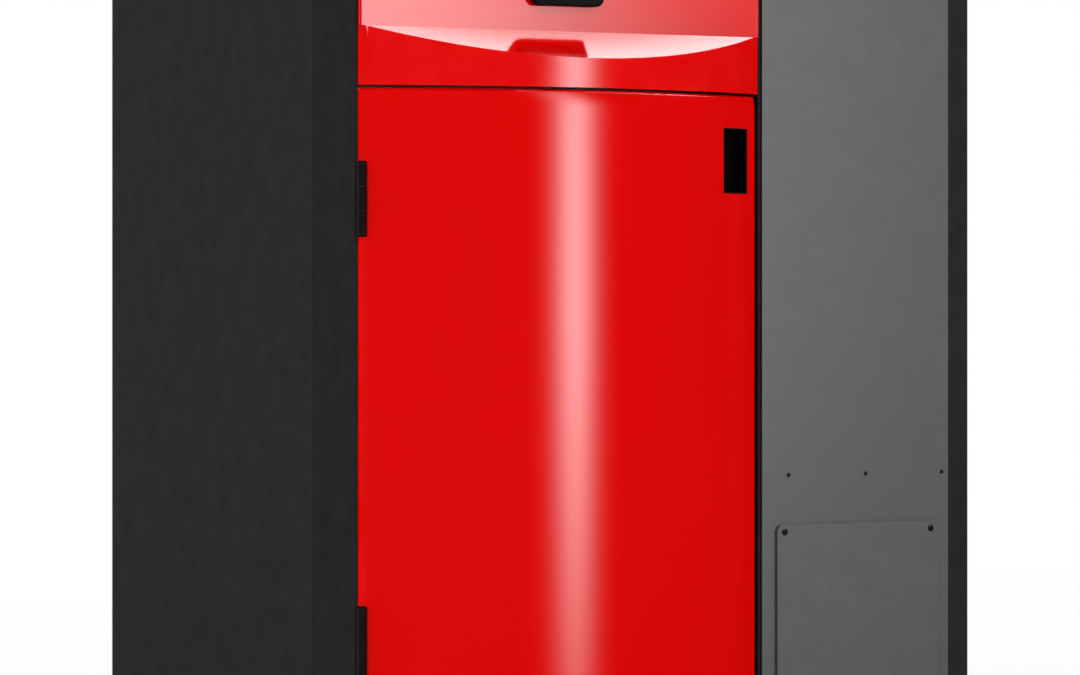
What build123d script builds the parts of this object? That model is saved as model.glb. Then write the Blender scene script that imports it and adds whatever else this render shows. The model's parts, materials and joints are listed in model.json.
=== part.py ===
from build123d import *
from math import cos, hypot, pi, radians, sin, sqrt, tan
import os

# Pellet boiler with a hopper at its right-hand side. Millimetres, +Z up.
# Parts are drawn with X = 0 at the middle of the boiler cabinet, Y = 0 at the ends of the curved front
# and Z = 0 at the floor. The finished parts are then moved so that the origin is at the middle of the floor.

# Cabinet
FRONT_WIDTH = 640.0
CABINET_WIDTH = 650.0
CABINET_DEPTH = 750.0
CABINET_TOP = 1260.0
CHEEK_DEPTH = 120.0
CHEEK_THICKNESS = 4.0
CHEEK_HEM = 60.0
SHEET = 1.5
FLANGE = 14.0
SEAM = 1.0
LID_DEPTH = 15.0
TOUCH = 0.3
VENT_BOTTOM = 560.0
VENT_WIDTH = 200.0
VENT_PITCH = 16.0
VENT_SLOT = 5.0
TAB_ABOVE_BOTTOM = 20.0

# Feet and base frames
FOOT_HEIGHT = 25.0
FOOT_PAD_RADIUS = 22.0
FOOT_PAD_HEIGHT = 8.0
FOOT_STUD_RADIUS = 6.0
FOOT_INSET = 45.0
BASE_HEIGHT = 40.0
BASE_BEAM = 45.0
CROSS_BEAM_INSET = 50.0
PLINTH_DEPTH = 8.0
BASE_WALL = 3.0

# Curved front: door, fascia, ledge and slanted display panel
FRONT_BULGE = 78.0
FRONT_SHEET = 2.0
EDGE_ROUND = 4.0
DOOR_BOTTOM = 75.0
DOOR_HEIGHT = 900.0
DOOR_GAP = 3.0
DOOR_FREE_GAP = 6.0
DOOR_FLANGE = 22.0
LINER_CLEARANCE = 0.5
FASCIA_LIP = 25.0
FASCIA_DEPTH = 60.0
FASCIA_CORNER = 3.0
CREASE_FORWARD = 5.0
CREASE_HEIGHT = 1058.0
LEDGE_DROP_ANGLE = 28.4
PANEL_ANGLE = 78.0
TAB_WIDTH = 20.0
TAB_HEIGHT = 40.0

# Door grip
GRIP_LEFT = 241.0
GRIP_WIDTH = 54.0
GRIP_HEIGHT = 92.0
GRIP_BELOW_TOP = 46.0
GRIP_WALL = 2.0

# Door hinges
HINGE_INSET = 101.0
HINGE_HEIGHT = 99.0
HINGE_RADIUS = 6.5
HINGE_PIN_RADIUS = 3.0
HINGE_FORWARD = 6.0
HINGE_LEAF = 2.5
HINGE_NOTCH = 11.0
HINGE_PLAY = 0.05
KNUCKLE_GAP = 0.5
NOTCH_GAP = 1.5

# Display
DISPLAY_WIDTH = 122.0
DISPLAY_HEIGHT = 90.0
DISPLAY_PROUD = 13.0
DISPLAY_CORNER = 12.0
DISPLAY_ABOVE_CREASE = 34.5
SCREEN_WIDTH = 92.0
SCREEN_HEIGHT = 68.0
SCREEN_THICKNESS = 2.0
DISPLAY_RIM = 15.0
CONTROL_BOX_WIDTH = 360.0

# Boiler vessel
VESSEL_WIDTH = 520.0
VESSEL_DEPTH = 570.0
VESSEL_TOP = 1130.0
PLATE = 5.0
CHAMBER_WIDTH = 360.0
CHAMBER_DEPTH = 480.0
CHAMBER_BOTTOM = 270.0
CHAMBER_TOP = 640.0
ASH_PIT_BOTTOM = 92.0
ASH_PIT_TOP = 235.0
DROP_HOLE = 180.0
SMOKE_BOX_WIDTH = 400.0
SMOKE_BOX_FRONT = 180.0
SMOKE_BOX_DEPTH = 420.0
SMOKE_BOX_BOTTOM = 1030.0
LINING = 20.0
INSULATION = 50.0
NECK_GAP_RADIUS = 62.0

# Heat exchanger
TUBE_RADIUS = 30.0
TUBE_WALL = 3.5
TUBE_PITCH_X = 90.0
TUBE_COLUMNS = 4
TUBE_ROWS_Y = (440.0, 540.0)
TUBE_FIT = 0.15
STRIP_WIDTH = 44.0
STRIP_THICKNESS = 2.5
STRIP_TWISTS = 2.0
STRIP_SECTIONS = 17
LIFT_BAR = 10.0
SMOKE_LID = 8.0

# Cleaning drive: rack and pinion
RACK_SIDE = 12.0
TOOTH_MODULE = 2.0
PINION_TEETH = 18
RACK_TEETH = 13
PRESSURE_ANGLE = 20.0
TOOTH_BACKLASH = 0.3
PINION_SHAFT = 5.0

# Burner
BURNER_Y = 410.0
GRATE_CUTOUT = 94.0
FEED_CUTOUT_SHIFT = 20.0
FEED_CUTOUT_DEPTH = 170.0
FEED_CUTOUT_HEIGHT = 110.0
POT_OUTER = 190.0
POT_INNER = 150.0
POT_HEIGHT = 130.0
GRATE_SIDE = 146.0
GRATE_THICKNESS = 6.0
GRATE_AXIS_UP = 10.0
GRATE_SHAFT = 7.0
IGNITER_RADIUS = 8.0
IGNITER_OFFSET = 58.0

# Flue fan
FAN_HEIGHT = 1072.0
FAN_NECK_HOLE = 58.0
FLUE_PORT_RADIUS = 40.0
FLUE_PLATE = 3.0
FAN_SHAFT = 5.5
FAN_SHAFT_GAP = 0.5
FAN_NECK_RADIUS = 57.0
FAN_DRUM_RADIUS = 118.0
FAN_DRUM_DEPTH = 84.0
FAN_WALL = 2.5
IMPELLER_RADIUS = 92.0
IMPELLER_BLADES = 9
FLUE_RADIUS = 50.0
FLUE_COLLAR = 60.0
FAN_MOTOR_RADIUS = 44.0
FAN_MOTOR_LENGTH = 58.0

# Water connections
SOCKET_HEXAGON = 25.0
PIPE_BORE = 15.15
PIPE_OUTER = 21.0
PIPE_REACH = 22.0
PIPE_X = -150.0
FLOW_HEIGHT = 960.0
RETURN_HEIGHT = 180.0
DRAIN_X = 170.0
DRAIN_HEIGHT = 120.0

# Hopper
HOPPER_GAP = 3.0
HOPPER_WIDTH = 355.0
HOPPER_LIP = 35.0
HOPPER_PANEL_TOP = 1230.0
HOPPER_LID_GAP = 1.0
BIN_CLEARANCE = 5.0
BIN_SLOPE_TOP = 830.0
TROUGH_TOP = 540.0
TROUGH_RADIUS = 50.0
TROUGH_START = 62.0
TROUGH_END = 470.0
TROUGH_X = 505.0
LID_HINGE_BACK = 6.0
LID_HINGE_RADIUS = 5.0
COVER_LEFT = 351.0
COVER_WIDTH = 276.0
COVER_BOTTOM = 80.0
COVER_TOP = 371.0
COVER_PROUD = 4.5
COVER_CORNER = 11.0
COVER_SCREW_INSET = 12.5
COVER_SCREW_HEAD = 5.0
PANEL_SCREW_HEAD = 3.2
PANEL_SCREW_HEIGHT = 441.0
PANEL_SCREW_FIRST = 372.5
PANEL_SCREW_PITCH = 132.0
LID_HINGE_INSET = 70.0

# Pellet feed
SCREW_RADIUS = 38.0
SCREW_SHAFT = 10.0
SCREW_PITCH = 60.0
FLIGHT_THICKNESS = 4.0
STOKER_HEIGHT = 350.0
STOKER_OUTER = 46.0
STOKER_INNER = 41.0
STOKER_END = 640.0
CHUTE_SIDE = 70.0
CHUTE_WALL = 3.0
CHUTE_FLANGE = 10.0
DOSING_GEARBOX = 76.0
STOKER_GEARBOX = 100.0

# Fire door, ash drawer and small rear parts
FIRE_HINGE_INSET = 50.0
DRAWER_GRIP_HALF = 65.0
DRAWER_GRIP_REACH = 26.0
DRAWER_GRIP_ROUND = 5.0
FIRE_DOOR_MARGIN = 34.0
FIRE_DOOR_THICKNESS = 26.0
FIRE_DOOR_GAP = 2.0
FIRE_HINGE_RADIUS = 9.0
FIRE_PIN_RADIUS = 5.0
FIRE_HINGE_LENGTH = 40.0
LATCH_SHAFT = 6.0
DRAWER_WIDTH = 340.0
DRAWER_DEPTH = 440.0
DRAWER_HEIGHT = 112.0
DRAWER_WALL = 2.0
DRAWER_FRONT = 6.0
FLUE_X = 67.0
DRAIN_LENGTH = 60.0
SWITCH_X = 200.0
SWITCH_Z = 1150.0
SWITCH_HOLE = (28.0, 40.0)
GLAND_X = 200.0
GLAND_Z = 1060.0
GLAND_RADIUS = 10.0
LID_HINGE_LENGTH = 72.0
LID_PIN_RADIUS = 2.5
DRIVE_FRONT = 20.0

# Worked out from the sizes above
HALF = CABINET_WIDTH / 2
FRONT_HALF = FRONT_WIDTH / 2
FRONT_RADIUS = (FRONT_HALF**2 + FRONT_BULGE**2) / (2 * FRONT_BULGE)
FRONT_CENTRE_Y = FRONT_RADIUS - FRONT_BULGE
PANEL_BOTTOM = FOOT_HEIGHT + BASE_HEIGHT
PANEL_TOP = CABINET_TOP - LID_DEPTH
DOOR_TOP = DOOR_BOTTOM + DOOR_HEIGHT
FASCIA_BOTTOM = DOOR_TOP + DOOR_GAP
PANEL_RUN = (PANEL_TOP - CREASE_HEIGHT) / tan(radians(PANEL_ANGLE))
DOOR_LEFT = -FRONT_HALF
DOOR_RIGHT = FRONT_HALF - DOOR_FREE_GAP
HINGE_X = DOOR_LEFT + HINGE_RADIUS - CHEEK_THICKNESS - (HALF - CHEEK_THICKNESS - FRONT_HALF) + 0.5
HINGE_HEIGHTS = (DOOR_TOP - HINGE_INSET - HINGE_HEIGHT / 2, DOOR_BOTTOM + HINGE_INSET + HINGE_HEIGHT / 2)
VESSEL_FRONT = CHEEK_DEPTH
VESSEL_BACK = VESSEL_FRONT + VESSEL_DEPTH
VESSEL_HALF = VESSEL_WIDTH / 2
SMOKE_BOX_BACK = SMOKE_BOX_FRONT + SMOKE_BOX_DEPTH
CHAMBER_HALF = CHAMBER_WIDTH / 2
CHAMBER_BACK = VESSEL_FRONT + CHAMBER_DEPTH
TUBE_COLUMNS_X = [TUBE_PITCH_X * (i - (TUBE_COLUMNS - 1) / 2) for i in range(TUBE_COLUMNS)]
FLOOR_TOP = CHAMBER_BOTTOM + LINING
POT_TOP = FLOOR_TOP + POT_HEIGHT
GRATE_AXIS = FLOOR_TOP + GRATE_AXIS_UP
RACK_Y = sum(TUBE_ROWS_Y) / len(TUBE_ROWS_Y)
PINION_RADIUS = TOOTH_MODULE * PINION_TEETH / 2
SMOKE_LID_TOP = VESSEL_TOP + SMOKE_LID
FAN_FRONT = CABINET_DEPTH + TOUCH
FAN_BACK = FAN_FRONT + FAN_DRUM_DEPTH
REAR_END = FAN_BACK + FAN_MOTOR_LENGTH
HOPPER_LEFT = HALF + HOPPER_GAP
HOPPER_RIGHT = HOPPER_LEFT + HOPPER_WIDTH
HOPPER_FRONT_RIGHT = HOPPER_RIGHT - HOPPER_LIP
SCREW_HEIGHT = TROUGH_TOP - TROUGH_RADIUS + 5.0
SHIFT_X = -(HOPPER_RIGHT - HALF) / 2
SHIFT_Y = (FRONT_BULGE - REAR_END) / 2
FIRE_DOOR_BACK = VESSEL_FRONT - FIRE_DOOR_GAP
FIRE_HINGE_X = -CHAMBER_HALF - FIRE_DOOR_MARGIN - 14.0
FIRE_HINGE_Y = FIRE_DOOR_BACK - FIRE_DOOR_THICKNESS / 2
LATCH_X = CHAMBER_HALF + 12.0
LATCH_Z = (CHAMBER_BOTTOM + CHAMBER_TOP) / 2


# Helpers


def block(xs, ys, zs):
    """A box between two corners, given as pairs along X, Y and Z."""
    size = [high - low for low, high in (xs, ys, zs)]
    middle = [(low + high) / 2 for low, high in (xs, ys, zs)]
    return Pos(*middle) * Box(*size)


def around(centre, width):
    """The pair of coordinates that spans width about centre."""
    return (centre - width / 2, centre + width / 2)


def bar(start, end, radius):
    """A round bar between two points."""
    run = Vector(*end) - Vector(*start)
    ends = (Align.CENTER, Align.CENTER, Align.MIN)
    return Plane(origin=start, z_dir=run) * Cylinder(radius, run.length, align=ends)


def pipe(start, end, outer, inner):
    """A round tube between two points."""
    return bar(start, end, outer) - bar(start, end, inner)


def tray(xs, ys, zs, wall, opening):
    """A folded box of sheet, open on one side: "+x", "-x", "+y", "-y", "+z" or "-z"."""
    inner = [[low + wall, high - wall] for low, high in (xs, ys, zs)]
    axis = "xyz".index(opening[1])
    low, high = (xs, ys, zs)[axis]
    inner[axis][1 if opening[0] == "+" else 0] = high + wall if opening[0] == "+" else low - wall
    return block(xs, ys, zs) - block(*inner)


def box_plates(xs, ys, zs, wall, missing=()):
    """The plates of a welded box by side, butted together; missing names the sides that stay open."""
    inner_xs = (xs[0] + wall, xs[1] - wall)
    inner_ys = (ys[0] if "front" in missing else ys[0] + wall, ys[1] if "back" in missing else ys[1] - wall)
    plates = {
        "left": block((xs[0], xs[0] + wall), ys, zs),
        "right": block((xs[1] - wall, xs[1]), ys, zs),
        "front": block(inner_xs, (ys[0], ys[0] + wall), zs),
        "back": block(inner_xs, (ys[1] - wall, ys[1]), zs),
        "bottom": block(inner_xs, inner_ys, (zs[0], zs[0] + wall)),
        "top": block(inner_xs, inner_ys, (zs[1] - wall, zs[1])),
    }
    return {side: plate for side, plate in plates.items() if side not in missing}


def square_tube(xs, ys, zs, wall, along):
    """A square tube along "x" or "y", open at both ends."""
    core_xs = xs if along == "x" else (xs[0] + wall, xs[1] - wall)
    core_ys = ys if along == "y" else (ys[0] + wall, ys[1] - wall)
    return block(xs, ys, zs) - block(core_xs, core_ys, (zs[0] + wall, zs[1] - wall))


def front_curve(inset=0.0):
    """The tall cylinder that the curved front lies on, moved inwards by inset."""
    cylinder = Cylinder(FRONT_RADIUS - inset, CABINET_TOP, align=(Align.CENTER, Align.CENTER, Align.MIN))
    return Pos(0, FRONT_CENTRE_Y, 0) * cylinder


def side_profile(points, xs):
    """A closed outline of (y, z) points, drawn out between two X values."""
    face = Plane.YZ.offset(xs[0]) * make_face(Polyline(*points, close=True))
    return extrude(face, xs[1] - xs[0], dir=(1, 0, 0))


def combine(shapes):
    """Several separate solids as one group."""
    solids = [solid for shape in shapes for solid in shape.solids()]
    return Compound(solids)


# Feet and base frames


def levelling_feet():
    """Eight screw feet: a pad and a stud under each corner of both base frames."""
    feet = []
    ys = (FOOT_INSET, CABINET_DEPTH - FOOT_INSET)
    xs = (-HALF + FOOT_INSET, HALF - FOOT_INSET, HOPPER_LEFT + FOOT_INSET, HOPPER_RIGHT - FOOT_INSET)
    for x in xs:
        for y in ys:
            pad = Pos(x, y, 0) * Cone(FOOT_PAD_RADIUS, FOOT_PAD_RADIUS * 0.6, FOOT_PAD_HEIGHT,
                                      align=(Align.CENTER, Align.CENTER, Align.MIN))
            stud = bar((x, y, FOOT_PAD_HEIGHT), (x, y, FOOT_HEIGHT), FOOT_STUD_RADIUS)
            nut = Pos(x, y, FOOT_HEIGHT - 5) * extrude(RegularPolygon(10, 6), 5)
            feet.append(pad + stud + nut)
    return combine(feet)


def base_frame(xs, cross_ys):
    """Square tubes welded to a rectangle, with more of them across it at the given Y values."""
    zs = (FOOT_HEIGHT, PANEL_BOTTOM)
    inner_xs = (xs[0] + BASE_BEAM, xs[1] - BASE_BEAM)
    half = BASE_BEAM / 2
    tubes = [
        square_tube((xs[0], inner_xs[0]), (0, CABINET_DEPTH), zs, BASE_WALL, "y"),
        square_tube((inner_xs[1], xs[1]), (0, CABINET_DEPTH), zs, BASE_WALL, "y"),
    ]
    for y in (half, *cross_ys, CABINET_DEPTH - half):
        tubes.append(square_tube(inner_xs, around(y, BASE_BEAM), zs, BASE_WALL, "x"))
    return combine(tubes)


def base_frames():
    """The base frames of the boiler and the hopper."""
    vessel_beams = (VESSEL_FRONT + CROSS_BEAM_INSET, VESSEL_BACK - CROSS_BEAM_INSET)
    boiler = base_frame((-HALF, HALF), vessel_beams)
    hopper = base_frame((HOPPER_LEFT, HOPPER_RIGHT), (BURNER_Y,))
    return combine([boiler, hopper])


# Boiler vessel and what it holds


def fire_spaces():
    """The gas side of the vessel: chamber, ash pit, the drop between them, and the smoke box."""
    front = VESSEL_FRONT - PLATE
    across = (-CHAMBER_HALF, CHAMBER_HALF)
    spaces = block(across, (front, CHAMBER_BACK), (CHAMBER_BOTTOM, CHAMBER_TOP))
    spaces += block(across, (front, CHAMBER_BACK), (ASH_PIT_BOTTOM, ASH_PIT_TOP))
    spaces += block(around(0, DROP_HOLE), around(BURNER_Y, DROP_HOLE), (ASH_PIT_TOP, CHAMBER_BOTTOM))
    smoke_ys = (SMOKE_BOX_FRONT, SMOKE_BOX_BACK)
    spaces += block(around(0, SMOKE_BOX_WIDTH), smoke_ys, (SMOKE_BOX_BOTTOM, VESSEL_TOP + PLATE))
    return spaces


def vessel_ports(grow, start, end, smoke_start, back):
    """Round ways through the water jacket: flue neck, pellet feed with the igniter, and grate shaft."""
    igniter_y = BURNER_Y + IGNITER_OFFSET
    igniter_radius = IGNITER_RADIUS + TOUCH + grow
    flue = bar((0, smoke_start, FAN_HEIGHT), (0, back, FAN_HEIGHT), FLUE_PORT_RADIUS + grow)
    feed = bar(
        (start, BURNER_Y, STOKER_HEIGHT), (end, BURNER_Y, STOKER_HEIGHT), STOKER_OUTER + TOUCH + grow
    )
    feed += bar((start, igniter_y, STOKER_HEIGHT), (end, igniter_y, STOKER_HEIGHT), igniter_radius)
    shaft = bar(
        (-start, BURNER_Y, GRATE_AXIS), (-end, BURNER_Y, GRATE_AXIS), GRATE_SHAFT + HINGE_PLAY + grow
    )
    return flue, feed, shaft


def tube_places():
    """The centre lines of the heat exchanger's tubes."""
    return [(x, y) for y in TUBE_ROWS_Y for x in TUBE_COLUMNS_X]


def boiler_body():
    """Water-jacket vessel welded from plates: shell, chamber, ash pit, smoke box and necks between them."""
    inner_front = VESSEL_FRONT + PLATE
    box_xs = (-CHAMBER_HALF - PLATE, CHAMBER_HALF + PLATE)
    box_ys = (inner_front, CHAMBER_BACK + PLATE)
    drop_span = DROP_HOLE + 2 * PLATE
    smoke_ys = (SMOKE_BOX_FRONT - PLATE, SMOKE_BOX_BACK + PLATE)
    shell = box_plates(
        (-VESSEL_HALF, VESSEL_HALF), (VESSEL_FRONT, VESSEL_BACK), (PANEL_BOTTOM, VESSEL_TOP), PLATE
    )
    boxes = [
        box_plates(box_xs, box_ys, (CHAMBER_BOTTOM - PLATE, CHAMBER_TOP + PLATE), PLATE, ("front",)),
        box_plates(box_xs, box_ys, (ASH_PIT_BOTTOM - PLATE, ASH_PIT_TOP + PLATE), PLATE, ("front",)),
        box_plates(
            around(0, drop_span),
            around(BURNER_Y, drop_span),
            (ASH_PIT_TOP + PLATE, CHAMBER_BOTTOM - PLATE),
            PLATE,
            ("bottom", "top"),
        ),
        box_plates(
            around(0, SMOKE_BOX_WIDTH + 2 * PLATE),
            smoke_ys,
            (SMOKE_BOX_BOTTOM - PLATE, VESSEL_TOP - PLATE),
            PLATE,
            ("top",),
        ),
    ]
    for z in fire_hinge_heights():
        shell["front"] += fire_hinge_lug(z)
    plates = [plate for box in (shell, *boxes) for plate in box.values()]
    cutters = [fire_spaces()]
    cutters += vessel_ports(
        0, CHAMBER_HALF - PLATE, VESSEL_HALF + PLATE, SMOKE_BOX_BACK - PLATE, VESSEL_BACK + PLATE
    )
    for x, y in tube_places():
        cutters.append(
            bar((x, y, CHAMBER_TOP - PLATE), (x, y, SMOKE_BOX_BOTTOM + PLATE), TUBE_RADIUS + TUBE_FIT)
        )
    for x, z in pipe_places():
        ends = (x, VESSEL_BACK - 2 * PLATE, z), (x, VESSEL_BACK + PLATE, z)
        cutters.append(bar(*ends, PIPE_OUTER + HINGE_PLAY))
    for cutter in cutters:
        plates = [plate - cutter for plate in plates]
    neck_ends = (CHAMBER_HALF + PLATE, VESSEL_HALF - PLATE, SMOKE_BOX_BACK + PLATE, VESSEL_BACK - PLATE)
    necks = [
        outer - inner for outer, inner in zip(vessel_ports(PLATE, *neck_ends), vessel_ports(0, *neck_ends))
    ]
    return combine(plates + necks)


def chamber_lining():
    """Refractory slabs: floor with the grate's hole, two sides and back."""
    gap = TOUCH
    xs = (-CHAMBER_HALF + gap, CHAMBER_HALF - gap)
    ys = (VESSEL_FRONT + PLATE, CHAMBER_BACK - gap)
    floor = block(xs, ys, (CHAMBER_BOTTOM, FLOOR_TOP))
    floor -= block(around(0, POT_INNER + 14), around(BURNER_Y, POT_INNER + 14), (0, VESSEL_TOP))
    side_zs = (FLOOR_TOP, CHAMBER_TOP - 2 * LINING)
    left = block((xs[0], xs[0] + LINING), ys, side_zs)
    left -= bar((xs[0], BURNER_Y, GRATE_AXIS), (0, BURNER_Y, GRATE_AXIS), GRATE_SHAFT + 1)
    right = block((xs[1] - LINING, xs[1]), ys, side_zs)
    right -= bar((0, BURNER_Y, STOKER_HEIGHT), (xs[1], BURNER_Y, STOKER_HEIGHT), STOKER_OUTER + TOUCH)
    igniter_y = BURNER_Y + IGNITER_OFFSET
    right -= bar((0, igniter_y, STOKER_HEIGHT), (xs[1], igniter_y, STOKER_HEIGHT), IGNITER_RADIUS + TOUCH)
    back = block((xs[0] + LINING, xs[1] - LINING), (ys[1] - LINING, ys[1]), side_zs)
    return combine([floor, left, right, back])


def heat_exchanger_tubes():
    """Upright fire tubes through the water space."""
    tubes = []
    for x, y in tube_places():
        tubes.append(
            pipe((x, y, CHAMBER_TOP), (x, y, SMOKE_BOX_BOTTOM + 2), TUBE_RADIUS, TUBE_RADIUS - TUBE_WALL)
        )
    return combine(tubes)


def twisted_strip(x, y, bottom, top):
    """A flat strip twisted along its length, with a straight hook end at its top."""
    turn = 180.0 * STRIP_TWISTS / (STRIP_SECTIONS - 1)
    step = (top - bottom) / (STRIP_SECTIONS - 1)
    sections = []
    for i in range(STRIP_SECTIONS):
        place = Pos(x, y, bottom + i * step) * Rot(0, 0, i * turn)
        sections.append(place * Rectangle(STRIP_WIDTH, STRIP_THICKNESS))
    strip = loft(sections, ruled=True)
    neck = block(around(x, 12), around(y, STRIP_THICKNESS), (top, SMOKE_BOX_BOTTOM + 2 * LIFT_BAR))
    return strip + neck


def turbulators():
    """Twisted strips that hang in the tubes and scrape them clean when lifted."""
    bottom = CHAMBER_TOP + 12
    top = SMOKE_BOX_BOTTOM - 6
    return combine([twisted_strip(x, y, bottom, top) for x, y in tube_places()])


def lift_bar_heights():
    """The lift frame's underside and top."""
    low = SMOKE_BOX_BOTTOM + 2 * LIFT_BAR
    return low, low + LIFT_BAR


def turbulator_lift_frame():
    """Cross bars on the strips, joined by a yoke that carries the toothed rod."""
    low, high = lift_bar_heights()
    reach = TUBE_PITCH_X * (TUBE_COLUMNS - 1) / 2 + 12
    frame = block((-RACK_SIDE, RACK_SIDE), (TUBE_ROWS_Y[0], TUBE_ROWS_Y[1]), (low, high))
    for y in TUBE_ROWS_Y:
        frame += block((-reach, reach), around(y, 14), (low, high))
    return frame + toothed_rod(high)


def rack_tooth_face(height):
    """One straight-sided rack tooth, pointing to -Y from the pitch line."""
    lean = tan(radians(PRESSURE_ANGLE))
    half = pi * TOOTH_MODULE / 4 - TOOTH_BACKLASH / 4
    root = 1.25 * TOOTH_MODULE
    tip = TOOTH_MODULE
    corners = [
        (root, height - half - root * lean),
        (root, height + half + root * lean),
        (-tip, height + half - tip * lean),
        (-tip, height - half + tip * lean),
    ]
    return corners


def pitch_line_y():
    """Where the rack's pitch line runs."""
    return RACK_Y - RACK_SIDE / 2 - 1.25 * TOOTH_MODULE


def toothed_rod(bottom):
    """The square rod above the lift frame, with rack teeth towards the pinion."""
    rod = block(around(0, RACK_SIDE), around(RACK_Y, RACK_SIDE), (bottom, rack_top()))
    pitch = pi * TOOTH_MODULE
    for i in range(RACK_TEETH):
        z = pinion_height() + pitch * (i - (RACK_TEETH - 1) / 2 - 0.0)
        outline = [(pitch_line_y() + y, tooth_z) for y, tooth_z in rack_tooth_face(z)]
        rod += side_profile(outline, around(0, RACK_SIDE))
    return rod


def pinion_height():
    """Height of the pinion's axis."""
    return SMOKE_LID_TOP + TOOTH_MODULE * RACK_TEETH * pi / 2 + 4


def rack_top():
    """Top of the toothed rod at rest."""
    return pinion_height() + TOOTH_MODULE * RACK_TEETH * pi / 2 + 1


def involute(base, angle):
    """A point of an involute of a circle."""
    return base * (cos(angle) + angle * sin(angle)), base * (sin(angle) - angle * cos(angle))


def pinion_outline():
    """The pinion's closed outline, with a gap between teeth facing the +X direction of its own plane."""
    base = PINION_RADIUS * cos(radians(PRESSURE_ANGLE))
    tip = PINION_RADIUS + TOOTH_MODULE
    root = PINION_RADIUS - 1.25 * TOOTH_MODULE
    involute_at_pitch = tan(radians(PRESSURE_ANGLE)) - radians(PRESSURE_ANGLE)
    half_tooth = pi / (2 * PINION_TEETH) - TOOTH_BACKLASH / (4 * PINION_RADIUS)
    roll_to_tip = sqrt((tip / base) ** 2 - 1)
    flank = [involute(base, roll_to_tip * i / 4) for i in range(5)]
    points = []
    for tooth in range(PINION_TEETH):
        middle = 2 * pi * (tooth + 0.5) / PINION_TEETH
        lower = middle - half_tooth - involute_at_pitch
        upper = middle + half_tooth + involute_at_pitch
        points.append((root * cos(lower), root * sin(lower)))
        for x, y in flank:
            points.append((x * cos(lower) - y * sin(lower), x * sin(lower) + y * cos(lower)))
        for x, y in reversed(flank):
            points.append((x * cos(upper) + y * sin(upper), x * sin(upper) - y * cos(upper)))
        points.append((root * cos(upper), root * sin(upper)))
    return points


def cleaning_pinion():
    """Pinion with its shaft, on an axis along X."""
    centre_y = pitch_line_y() - PINION_RADIUS
    plane = Plane(origin=(-RACK_SIDE / 2, centre_y, pinion_height()), x_dir=(0, 1, 0), z_dir=(1, 0, 0))
    gear = extrude(plane * make_face(Polyline(*pinion_outline(), close=True)), RACK_SIDE)
    shaft_end = 26.0
    start = (-RACK_SIDE / 2 - 6, centre_y, pinion_height())
    return gear + bar(start, (shaft_end, centre_y, pinion_height()), PINION_SHAFT)


def cleaning_gearmotor():
    """Geared motor on a foot, bolted to the smoke box lid beside the rack."""
    centre_y = pitch_line_y() - PINION_RADIUS
    z = pinion_height()
    box = block((14, 52), around(centre_y, 52), (SMOKE_LID_TOP, z + 24))
    box -= bar((0, centre_y, z), (26.5, centre_y, z), PINION_SHAFT + HINGE_PLAY)
    motor = bar((52, centre_y, z), (96, centre_y, z), 20)
    foot = block((14, 70), around(centre_y, 80), (SMOKE_LID_TOP, SMOKE_LID_TOP + 4))
    return box + motor + foot


def smoke_box_lid():
    """Cleaning cover over the smoke box, with a guide bush for the toothed rod."""
    margin = 22.0
    lid = block(
        around(0, SMOKE_BOX_WIDTH + 2 * margin),
        (SMOKE_BOX_FRONT - margin, SMOKE_BOX_BACK + margin),
        (VESSEL_TOP, SMOKE_LID_TOP),
    )
    tooth_room = TOOTH_MODULE * 2.25 + 1
    lid -= block(
        around(0, RACK_SIDE + 1),
        (RACK_Y - RACK_SIDE / 2 - tooth_room, RACK_Y + RACK_SIDE / 2 + 0.5),
        (0, CABINET_TOP),
    )
    for x in around(0, SMOKE_BOX_WIDTH + margin):
        for y in (SMOKE_BOX_FRONT - margin / 2, SMOKE_BOX_BACK + margin / 2):
            lid += Pos(x, y, SMOKE_LID_TOP) * extrude(RegularPolygon(9, 6), 6)
    return lid


def insulation_jacket():
    """Mineral wool slabs at both sides and the back of the vessel."""
    zs = (PANEL_BOTTOM + TOUCH, VESSEL_TOP)
    ys = (VESSEL_FRONT, VESSEL_BACK)
    left = block((-VESSEL_HALF - TOUCH - INSULATION, -VESSEL_HALF - TOUCH), ys, zs)
    left -= block((-HALF, -VESSEL_HALF), around(BURNER_Y, GRATE_CUTOUT), around(GRATE_AXIS, GRATE_CUTOUT))
    right = block((VESSEL_HALF + TOUCH, VESSEL_HALF + TOUCH + INSULATION), ys, zs)
    right -= block(
        (VESSEL_HALF, HALF),
        around(BURNER_Y + FEED_CUTOUT_SHIFT, FEED_CUTOUT_DEPTH),
        around(STOKER_HEIGHT, FEED_CUTOUT_HEIGHT),
    )
    back = block((-VESSEL_HALF, VESSEL_HALF), (VESSEL_BACK + TOUCH, VESSEL_BACK + TOUCH + INSULATION), zs)
    back -= bar((0, VESSEL_BACK, FAN_HEIGHT), (0, CABINET_DEPTH, FAN_HEIGHT), NECK_GAP_RADIUS)
    for x, z in pipe_places():
        back -= bar((x, VESSEL_BACK, z), (x, CABINET_DEPTH, z), PIPE_OUTER + 1)
    return combine([left, right, back])


# Burner


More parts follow.
